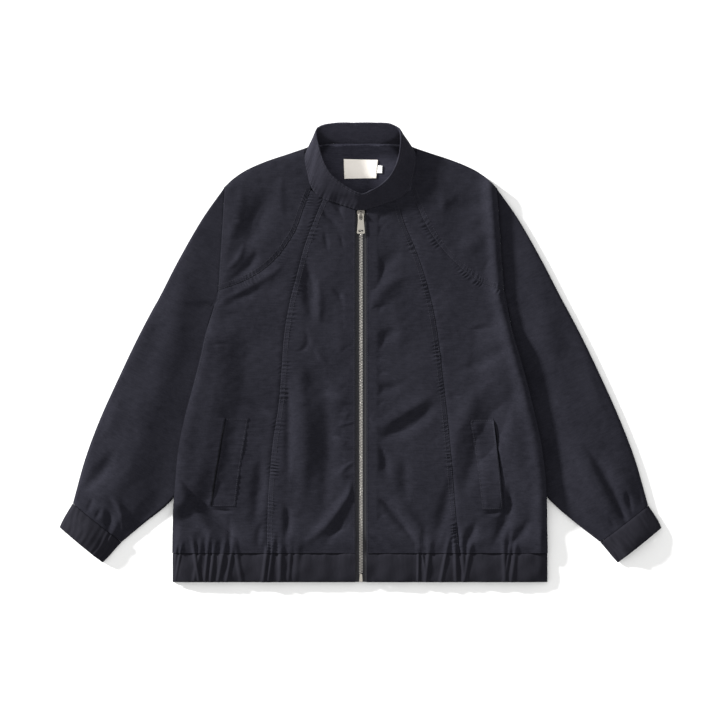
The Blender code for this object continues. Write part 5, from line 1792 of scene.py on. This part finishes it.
@dataclass
class Collar:
    """The stand collar: a folded band that leans towards the back."""

    wardrobe: Wardrobe
    stitching: Stitching
    cloth: float = 2.4
    shift: float = 2.3
    flare: float = 2.2
    back_z: float = 4.2
    step: float = 1.3
    rows: int = 20
    rounding: int = 5
    height: float = 36.0
    lean: float = 0.85
    swell: Swell = Swell(0.34, 16, 81)
    wander: Swell = Swell(0.5, 30, 83, 5)
    foot_thin: float = 0.45
    foot_run: float = 2.0
    flare_run: float = 3.5
    flare_end: tuple[float, float] = (300.0, 316.0)
    pucker_pitch: float = 6.2
    pucker_height: float = 0.26
    pucker_foot_run: float = 8.0
    pucker_rim: float = 0.6
    pucker_rim_run: float = 5.0
    front_y: tuple[float, float] = (312.0, 321.0)
    thread_lift: float = 0.1

    def middle(self) -> tuple[Array, Array]:
        """The collar's middle surface and its normals, as columns round the neck and rows up the band."""
        rows = smooth_rows(COLLAR, 2)
        base = rows[:, :2].copy()
        tangent = np.gradient(base, axis=0)
        tangent /= np.linalg.norm(tangent, axis=1, keepdims=True)
        inward = np.column_stack([tangent[:, 1], -tangent[:, 0]])
        front = ramp(-base[:, 1], -self.front_y[1], -self.front_y[0])
        base += inward * (self.shift * front)[:, None]
        seam_z = LAY.front_top(rows[:, 0], rows[:, 1]) - LAY.front_cloth / 2
        base_z = np.maximum(self.back_z, seam_z * front)
        table = smooth_rows(np.column_stack([base, base_z, rows[:, 2:]]), 5)
        table = resampled(table, (0, 1), self.step)
        weights = np.hanning(2 * self.rounding + 3)[1:-1]
        for k in (0, 1):
            column = np.pad(table[:, k], self.rounding, mode="reflect", reflect_type="odd")
            table[:, k] = np.convolve(column, weights / weights.sum(), mode="valid")
        points = []
        for k in range(self.rows):
            v = k / (self.rows - 1)
            spot = table[:, :2] + (table[:, 3:5] - table[:, :2]) * v
            points.append(np.column_stack([spot, table[:, 2] + (table[:, 5] - table[:, 2]) * v**self.lean]))
        points = np.array(points)
        along, up = np.gradient(points, axis=1), np.gradient(points, axis=0)
        normal = np.cross(along, up)
        return points, normal / np.linalg.norm(normal, axis=2, keepdims=True)

    def build(self) -> None:
        """Lays the collar and sews its edge."""
        points, normal = self.middle()
        half = self.cloth / 2
        v = np.linspace(0, 1, self.rows)[:, None]
        around = np.arange(points.shape[1])[None] * self.step
        up, down = v * self.height, (1 - v) * self.height
        swell = half * (1 - self.foot_thin * np.exp(-up / self.foot_run)) + self.swell.at(around + 0 * v, up)
        turn = around / self.pucker_pitch + self.wander.at(around + 0 * v, v * 20)
        held = np.exp(-up / self.pucker_foot_run) + self.pucker_rim * np.exp(-down / self.pucker_rim_run)
        swell = swell + self.pucker_height * held * np.sin(2 * math.pi * turn)
        flare = self.flare * np.exp(-up / self.flare_run) * (1 - ramp(points[..., 1], *self.flare_end))
        outer, inner = points - normal * (swell + flare)[..., None], points + normal * swell[..., None]
        rim_up = points[-1] - points[-2]
        rim_up /= np.linalg.norm(rim_up, axis=1, keepdims=True)
        rim = []
        for angle in np.linspace(0, math.pi, 6)[1:-1]:
            across = -normal[-1] * swell[-1][:, None] * math.cos(angle)
            rim.append(points[-1] + across + rim_up * swell[-1][:, None] * math.sin(angle) * 0.7)
        loop = np.concatenate([outer, np.array(rim), inner[::-1]])
        loop = np.concatenate([loop, loop[:1]])
        piece = grid_sheet("collar_cloth", loop.transpose(1, 0, 2), self.wardrobe.collar, closed=True)
        self.close_ends(piece)
        declare(piece, Body.GARMENT, Slot.TWILL, "collar")
        lay_sheet(piece, self.cut(points))
        for row in (1, self.rows - 3):
            path = points[row] - normal[row] * ((swell + flare)[row][:, None] + self.thread_lift)
            self.stitching.run(path[2:-2], -normal[row][2:-2])
        row = self.rows - 3
        path = points[row] + normal[row] * (swell[row][:, None] + self.thread_lift)
        self.stitching.run(path[2:-2], normal[row][2:-2])

    def cut(self, points: Array) -> Cut:
        """The band's flat cut, from its neck seam's length and its own height.

        Args:
            points: the middle surface, rows up the band and columns round the neck.

        Returns:
            The cut of the face that shows.
        """
        round_neck = np.linalg.norm(np.diff(points[0], axis=0), axis=1).sum() * MM
        height = np.linalg.norm(np.diff(points, axis=0), axis=2).sum(axis=0) * MM
        return Cut(float(round_neck), float(height.max()), float(round_neck * height.mean()))

    def close_ends(self, piece: Piece) -> None:
        """Closes the band's two front ends."""
        pick(piece)
        bpy.ops.object.mode_set(mode="EDIT")
        bpy.ops.mesh.select_all(action="DESELECT")
        bpy.ops.mesh.select_mode(type="EDGE")
        bpy.ops.mesh.select_non_manifold(extend=False)
        bpy.ops.mesh.fill()
        bpy.ops.mesh.select_all(action="SELECT")
        bpy.ops.mesh.normals_make_consistent(inside=False)
        bpy.ops.object.mode_set(mode="OBJECT")
        bpy.ops.object.shade_smooth_by_angle(angle=math.radians(60))


WINDOW_POINTS = 28  # round the pull's window
CUTTER_REACH = 3.0  # above and below the pull


@dataclass
class Zip:
    """The metal zip: tapes, teeth, end box, slider and pull."""

    wardrobe: Wardrobe
    x: float = 0.6
    chain_width: float = 5.8
    tape_width: float = 15.0
    tape_bottom: float = 4.8
    tape_thickness: float = 0.9
    chain_bottom: float = 3.9
    chain_top: float = 6.7
    chain_end_y: float = -342.0
    chain_top_y: float = 213.0
    top_y: float = 219.0
    pitch: float = 2.4

    def tapes(self) -> None:
        """Both woven tapes, each with a corded inner edge."""
        for side in Side:
            near = self.x + side.sign * (self.chain_width / 2 - 0.9)
            far = self.x + side.sign * (self.chain_width / 2 + 0.3 + self.tape_width)
            x = near + (far - near) * np.array([0, 0.03, 0.06, 0.1, 0.16, 0.3, 0.5, 0.75, 1])
            y = np.arange(LAY.hem_y + 1, self.top_y, 3.0)
            xx, yy = np.meshgrid(x, y)
            cord = 0.5 * bump(xx - near - side.sign * 0.6, 1.6)
            z = self.tape_bottom + self.tape_thickness + cord - 0.5 * bump(xx - near, 0.9)
            points = np.dstack([xx, yy, z])
            piece = grid_sheet("zip_tape_cloth_" + side.value, points, self.wardrobe.tape,
                               self.tape_thickness - 0.1)
            declare(piece, Body.GARMENT, Slot.TAPE, "zip_tape_" + side.value)
            lay_sheet(piece, plan_cut(points))

    def tooth(self) -> Piece:
        """One tooth: a head that hooks its neighbours and legs that grip the tape."""
        deselect()
        bpy.ops.mesh.primitive_cube_add(size=1)
        piece = bpy.context.active_object
        half_width = self.chain_width / 4 + 0.35
        for vert in piece.data.vertices:
            x, y, z = vert.co * 2
            vert.co = (
                x * half_width * MM,
                y * (0.6 if x < 0.5 else 0.46) * MM,
                z * (self.chain_top - self.chain_bottom) / 2 * (1.0 if x < 0.5 else 0.72) * MM,
            )
        apply_modifier(piece, "BEVEL", width=0.00022, segments=1, limit_method="NONE")
        return piece

    def teeth(self) -> None:
        """Both interleaved rows of teeth."""
        y = np.arange(self.chain_end_y + 0.8, self.chain_top_y - 1.0, self.pitch)
        middle = 0.5 * (self.chain_bottom + self.chain_top)
        places, along = [], []
        for side in Side:
            shift = 0 if side is Side.LEFT else self.pitch / 2
            rows = y + shift
            rows = rows[rows < self.chain_top_y - 0.5]
            places.append(np.column_stack([
                np.full(len(rows), self.x + side.sign * (self.chain_width / 4 - 0.35)), rows,
                np.full(len(rows), middle)]))
            along.append(np.tile([-side.sign * 1.0, 0, 0], (len(rows), 1)))
        places, along = np.concatenate(places), np.concatenate(along)
        piece = copies("zip_teeth", self.tooth(), places, along, np.tile([0.0, 0, 1], (len(places), 1)),
                       self.wardrobe.teeth)
        bpy.ops.object.shade_smooth_by_angle(angle=math.radians(35))
        declare(piece, Body.GARMENT, Slot.NICKEL, "zip_chain")

    def block(self, name: str, low: Sequence[float], high: Sequence[float],
              bevel: float) -> Piece:
        """A bevelled metal block between two corners."""
        low, high = np.array(low, float), np.array(high, float)
        deselect()
        bpy.ops.mesh.primitive_cube_add(size=1, location=tuple((low + high) / 2 * MM))
        piece = bpy.context.active_object
        piece.scale = tuple((high - low) * MM)
        settle(piece, name, self.wardrobe.metal)
        apply_modifier(piece, "BEVEL", width=bevel * MM, segments=3, limit_method="NONE")
        return piece

    def end_box(self) -> None:
        """The box at the zip's foot, with its pin's groove."""
        low = (self.x - self.chain_width / 2, LAY.hem_y + 0.6, self.chain_bottom - 0.6)
        high = (self.x + self.chain_width / 2, self.chain_end_y - 0.3, self.chain_top + 0.5)
        piece = self.block("zip_end_box", low, high, 0.7)
        bpy.ops.object.mode_set(mode="EDIT")
        bpy.ops.mesh.select_all(action="SELECT")
        bpy.ops.mesh.bisect(plane_co=(self.x * MM, 0, 0), plane_no=(1, 0, 0))
        bpy.ops.object.mode_set(mode="OBJECT")
        for vert in piece.data.vertices:
            taper = (vert.co.y / MM - low[1]) / (high[1] - low[1])
            vert.co.x = self.x * MM + (vert.co.x - self.x * MM) * (1.0 - 0.28 * taper)
            if abs(vert.co.x - self.x * MM) < 0.0001 and vert.co.z > self.chain_top * MM:
                vert.co.z -= 0.0005
        bpy.ops.object.shade_smooth_by_angle(angle=math.radians(30))
        declare(piece, Body.GARMENT, Slot.NICKEL, "zip_box")

    def outline(self, name: str, plan: Sequence[tuple[float, float]], z0: float, z1: float,
                bevel: float) -> Piece:
        """A plate of the given outline with bevelled edges."""
        deselect()
        bpy.ops.mesh.primitive_circle_add(vertices=len(plan), radius=1, fill_type="NGON")
        piece = bpy.context.active_object
        for vert, (x, y) in zip(piece.data.vertices, plan):
            vert.co = (x * MM, y * MM, z0 * MM)
        bpy.ops.object.mode_set(mode="EDIT")
        bpy.ops.mesh.select_all(action="SELECT")
        bpy.ops.mesh.extrude_region_move(TRANSFORM_OT_translate={"value": (0, 0, (z1 - z0) * MM)})
        bpy.ops.mesh.select_all(action="SELECT")
        bpy.ops.mesh.normals_make_consistent(inside=False)
        bpy.ops.object.mode_set(mode="OBJECT")
        settle(piece, name, self.wardrobe.metal)
        apply_modifier(piece, "BEVEL", width=bevel * MM, segments=3, limit_method="ANGLE",
                       angle_limit=math.radians(35))
        return piece

    def slider(self, sizes: Slider) -> None:
        """The slider's two plates on their wedge, and the bail."""
        half, top, bottom = sizes.width / 2, sizes.top_y, sizes.top_y - sizes.length
        edge = ((2.2, top), (4.6, top - 0.5), (5.6, top - 1.5), (half, top - 3.2), (half, top - 5.6),
                (half - 0.8, top - 8.2), (half - 1.6, bottom + 1.0), (half - 2.6, bottom))
        shape = [(self.x + x, y) for x, y in edge] + [(self.x - x, y) for x, y in reversed(edge)]
        parts = [
            self.outline("slider_top", shape, sizes.upper_z, sizes.upper_z + sizes.plate, 0.4),
            self.outline("slider_foot", shape, sizes.lower_z, sizes.lower_z + sizes.plate, 0.3),
            self.block("slider_wedge", (self.x - 1.4, self.chain_top_y + 0.6, sizes.lower_z + 0.4),
                       (self.x + 1.4, top - 0.4, sizes.upper_z + 0.5), 0.3),
            self.bail(sizes),
        ]
        deselect()
        for part in parts:
            part.select_set(True)
        bpy.context.view_layer.objects.active = parts[0]
        bpy.ops.object.join()
        piece = settle(parts[0], "zip_slider", self.wardrobe.slider)
        bpy.ops.object.shade_smooth_by_angle(angle=math.radians(35))
        declare(piece, Body.GARMENT, Slot.NICKEL, "slider")

    def bail(self, sizes: Slider) -> Piece:
        """The arched bridge that the pull hangs on."""
        low, high = sizes.bail_near_y - sizes.bail_post, sizes.bail_far_y
        foot, reach = sizes.upper_z + sizes.bail_sunk, sizes.bail_top - sizes.upper_z - sizes.bail_sunk
        profile = []
        for angle in np.linspace(0, math.pi, 11):
            rise = math.sin(angle) ** sizes.bail_squareness * reach
            profile.append(((low + high) / 2 - math.cos(angle) * (high - low) / 2, foot + rise))
        deselect()
        bpy.ops.mesh.primitive_grid_add(x_subdivisions=len(profile) - 1, y_subdivisions=3, size=1)
        piece = bpy.context.active_object
        places = []
        for x in np.linspace(-sizes.bail_width / 2, sizes.bail_width / 2, 4):
            for y, z in profile:
                places.append(((self.x + x) * MM, y * MM, z * MM))
        piece.data.vertices.foreach_set("co", np.array(places, np.float32).reshape(-1))
        piece.data.update()
        bpy.ops.object.mode_set(mode="EDIT")
        bpy.ops.mesh.select_all(action="SELECT")
        bpy.ops.mesh.normals_make_consistent(inside=False)
        bpy.ops.object.mode_set(mode="OBJECT")
        if sum(p.normal.z for p in piece.data.polygons) < 0:
            piece.data.flip_normals()
        settle(piece, "slider_bail", self.wardrobe.metal)
        apply_modifier(piece, "SOLIDIFY", thickness=sizes.bail_thickness * MM, offset=-1.0)
        apply_modifier(piece, "BEVEL", width=0.25 * MM, segments=2, limit_method="ANGLE",
                       angle_limit=math.radians(40))
        return piece

    def pull(self, sizes: Slider) -> None:
        """The pull tab: a bar in the bail, an oval window, a flared plate with a slot."""
        hinge = np.array([self.x, sizes.hinge_y, sizes.hinge_z])
        half, start = sizes.tab_thickness / 2, sizes.tab_bar / 2
        w0, w1 = sizes.tab_top_width / 2, sizes.tab_end_width / 2
        end = -sizes.tab_length
        side = [(w0 - 1.6, start), (w0 - 0.5, start - 0.5), (w0, start - 1.8),
                (w0, -sizes.window_length - start), (w1, end + 1.6), (w1 - 0.5, end + 0.5), (w1 - 1.6, end)]
        shape = [(hinge[0] + x, hinge[1] + y) for x, y in side]
        shape += [(hinge[0] - x, hinge[1] + y) for x, y in reversed(side)]
        piece = self.outline("zip_pull", shape, hinge[2] - half, hinge[2] + half, 0.28)
        loop = []
        for k in range(WINDOW_POINTS):
            angle = 2 * math.pi * k / WINDOW_POINTS
            x = math.copysign(abs(math.cos(angle)) ** 0.8, math.cos(angle)) * sizes.window_width / 2
            y = math.copysign(abs(math.sin(angle)) ** 0.8, math.sin(angle)) * sizes.window_length / 2
            loop.append((hinge[0] + x, hinge[1] + y - start - sizes.window_length / 2))
        low, high = hinge[2] - CUTTER_REACH, hinge[2] + CUTTER_REACH
        left, right = hinge[0] - sizes.slot_width / 2, hinge[0] + sizes.slot_width / 2
        slot_y = hinge[1] - sizes.slot_at
        cutters = [
            self.outline("window_cutter", loop, low, high, 0.01),
            self.block("slot_cutter", (left, slot_y - sizes.slot_length, low), (right, slot_y, high), 0.5),
        ]
        for cutter in cutters:
            apply_modifier(piece, "BOOLEAN", operation="DIFFERENCE", object=cutter)
            bpy.data.objects.remove(cutter, do_unlink=True)
        pick(piece)
        bpy.ops.object.shade_smooth_by_angle(angle=math.radians(30))
        declare(piece, Body.PULL, Slot.NICKEL, "pull_tab")

    def build(self) -> None:
        """Makes the whole zip."""
        self.tapes()
        self.teeth()
        self.end_box()
        sizes = Slider()
        self.slider(sizes)
        self.pull(sizes)


@dataclass(frozen=True)
class Slider:
    """Sizes of the slider and its pull."""

    length: float = 13.0
    width: float = 12.0
    top_y: float = 221.6
    plate: float = 1.0
    lower_z: float = 2.65
    upper_z: float = 7.1
    hinge_y: float = 214.4
    hinge_z: float = 9.9
    bail_width: float = 3.0
    bail_far_y: float = 219.0
    bail_near_y: float = 210.4
    bail_post: float = 1.3
    bail_top: float = 12.7
    bail_sunk: float = 0.6
    bail_squareness: float = 0.55
    bail_thickness: float = 1.15
    tab_thickness: float = 1.6
    tab_bar: float = 2.0
    tab_length: float = 30.4
    tab_top_width: float = 9.0
    tab_end_width: float = 12.4
    window_width: float = 5.4
    window_length: float = 8.4
    slot_width: float = 7.4
    slot_length: float = 3.2
    slot_at: float = 24.4


@dataclass
class NeckLabel:
    """The plain woven label and the small tab beside it."""

    wardrobe: Wardrobe
    thickness: float = 0.7
    z: float = 3.45
    step: float = 1.2
    flat: tuple[float, float] = (0.0515, 0.0300)
    swell: Swell = Swell(0.25, 18, 91)
    rim: float = 0.25
    rim_run: float = 0.8

    def patch(self, name: str, corners: Sequence[tuple[float, float]], finish: Material,
              node: str) -> Piece:
        """A small woven patch between four corners: lower left, lower right, upper left, upper right."""
        low_left, low_right, up_left, up_right = (np.array(c, float) for c in corners)
        across = np.linspace(0, 1, max(6, int(np.linalg.norm(low_right - low_left) / self.step)))
        up = np.linspace(0, 1, max(6, int(np.linalg.norm(up_left - low_left) / self.step)))
        u, v = across[None, :, None], up[:, None, None]
        plan = (1 - v) * ((1 - u) * low_left + u * low_right) + v * ((1 - u) * up_left + u * up_right)
        edge = np.minimum(np.minimum(u, 1 - u) * 50, np.minimum(v, 1 - v) * 30)[..., 0]
        z = self.z + self.swell.at(plan[..., 0], plan[..., 1]) * ramp(edge, 0, 6)
        z = z - self.rim * np.exp(-edge / self.rim_run)
        piece = grid_sheet(name, np.dstack([plan, z]), finish, self.thickness)
        declare(piece, Body.GARMENT, Slot.LABEL, node)
        return piece

    def build(self) -> None:
        """Lays both and sews the label's two ends."""
        label = self.patch("woven_label", ((-25, 269.5), (24.5, 270.5), (-26, 300), (27, 298.6)),
                           self.wardrobe.label, "neck_label")
        tab = self.patch("small_tab", ((25.9, 278.5), (33.4, 278.2), (27.1, 290), (34.0, 289.6)),
                         self.wardrobe.tab, "size_tab")
        lay_sheet(label, Cut(*self.flat, self.flat[0] * self.flat[1]))
        sewing = Stitching(self.wardrobe.label, pitch=2.4, length=1.8, thread=0.35)
        for path in (((-23.6, 271.2, 3.5), (-24.6, 298.4, 3.5)), ((23.2, 272.2, 3.5), (25.4, 297.2, 3.5))):
            sewing.run(np.array(path))
        piece = sewing.build("label_stitches")
        declare(piece, Body.GARMENT, Slot.LABEL)


@dataclass
class Studio:
    """Plain floor, soft light from the left and a camera straight above."""

    pixel: float = 1.55
    picture: int = 720
    centre_px: tuple[float, float] = (360.5, 352.75)
    distance: float = 4.2
    sensor: float = 36.0
    key_height: float = 13.0
    key_bearing: float = -122.0
    key_softness: float = 5.0
    key_strength: float = 14.0
    fill: float = 1.0
    floor_size: float = 12.0
    floor_z: float = -0.0004

    def floor(self) -> None:
        """The pale floor."""
        deselect()
        bpy.ops.mesh.primitive_plane_add(size=self.floor_size, location=(0, 0, self.floor_z))
        piece = settle(bpy.context.active_object, "pale_floor", FloorFinish().build())

    def key(self) -> None:
        """The low key light, parallel and slightly soft, that rakes the folds."""
        data = bpy.data.lights.new("key", "SUN")
        data.angle = math.radians(self.key_softness)
        data.energy = self.key_strength
        lamp = bpy.data.objects.new("key", data)
        bpy.context.scene.collection.objects.link(lamp)
        lamp.rotation_euler = (math.radians(90 - self.key_height), 0, math.radians(self.key_bearing))

    def camera(self) -> None:
        """The camera above the jacket, framed as the picture."""
        data = bpy.data.cameras.new("camera")
        data.sensor_width = self.sensor
        data.lens = self.sensor * self.distance / (self.picture * self.pixel * MM)
        data.clip_end = 50
        camera = bpy.data.objects.new("camera", data)
        bpy.context.scene.collection.objects.link(camera)
        x = (self.picture / 2 - self.centre_px[0]) * self.pixel * MM
        y = (self.centre_px[1] - self.picture / 2) * self.pixel * MM
        camera.location = (x, y, self.distance)
        bpy.context.scene.camera = camera

    def build(self) -> None:
        """Sets up the studio."""
        self.floor()
        self.key()
        world = bpy.data.worlds.new("studio")
        world.use_nodes = True
        world.node_tree.nodes["Background"].inputs["Color"].default_value = rgb((1, 1, 1))
        world.node_tree.nodes["Background"].inputs["Strength"].default_value = self.fill
        bpy.context.scene.world = world
        bpy.context.scene.view_settings.view_transform = "Standard"
        self.camera()


def main() -> None:
    """Builds the jacket and its studio in order."""
    logging.basicConfig(level=logging.INFO, format="%(message)s")
    Studio().build()
    LOG.info("studio ready")
    wardrobe = Wardrobe()
    stitching = Stitching(wardrobe.thread)
    for name, part in (
        ("back", Back(wardrobe)), ("sleeves", Sleeves(wardrobe)), ("cuffs", Cuffs(wardrobe)),
        ("fronts", Fronts(wardrobe, stitching)), ("pockets", Pockets(wardrobe, stitching)),
        ("hem band", HemBand(wardrobe)), ("collar", Collar(wardrobe, stitching)), ("zip", Zip(wardrobe)),
        ("neck label", NeckLabel(wardrobe)),
    ):
        part.build()
        LOG.info("%s laid", name)
    thread = stitching.build("topstitching")
    declare(thread, Body.GARMENT, Slot.TWILL)
    LOG.info("topstitching sewn")


if __name__ == "__main__":
    main()
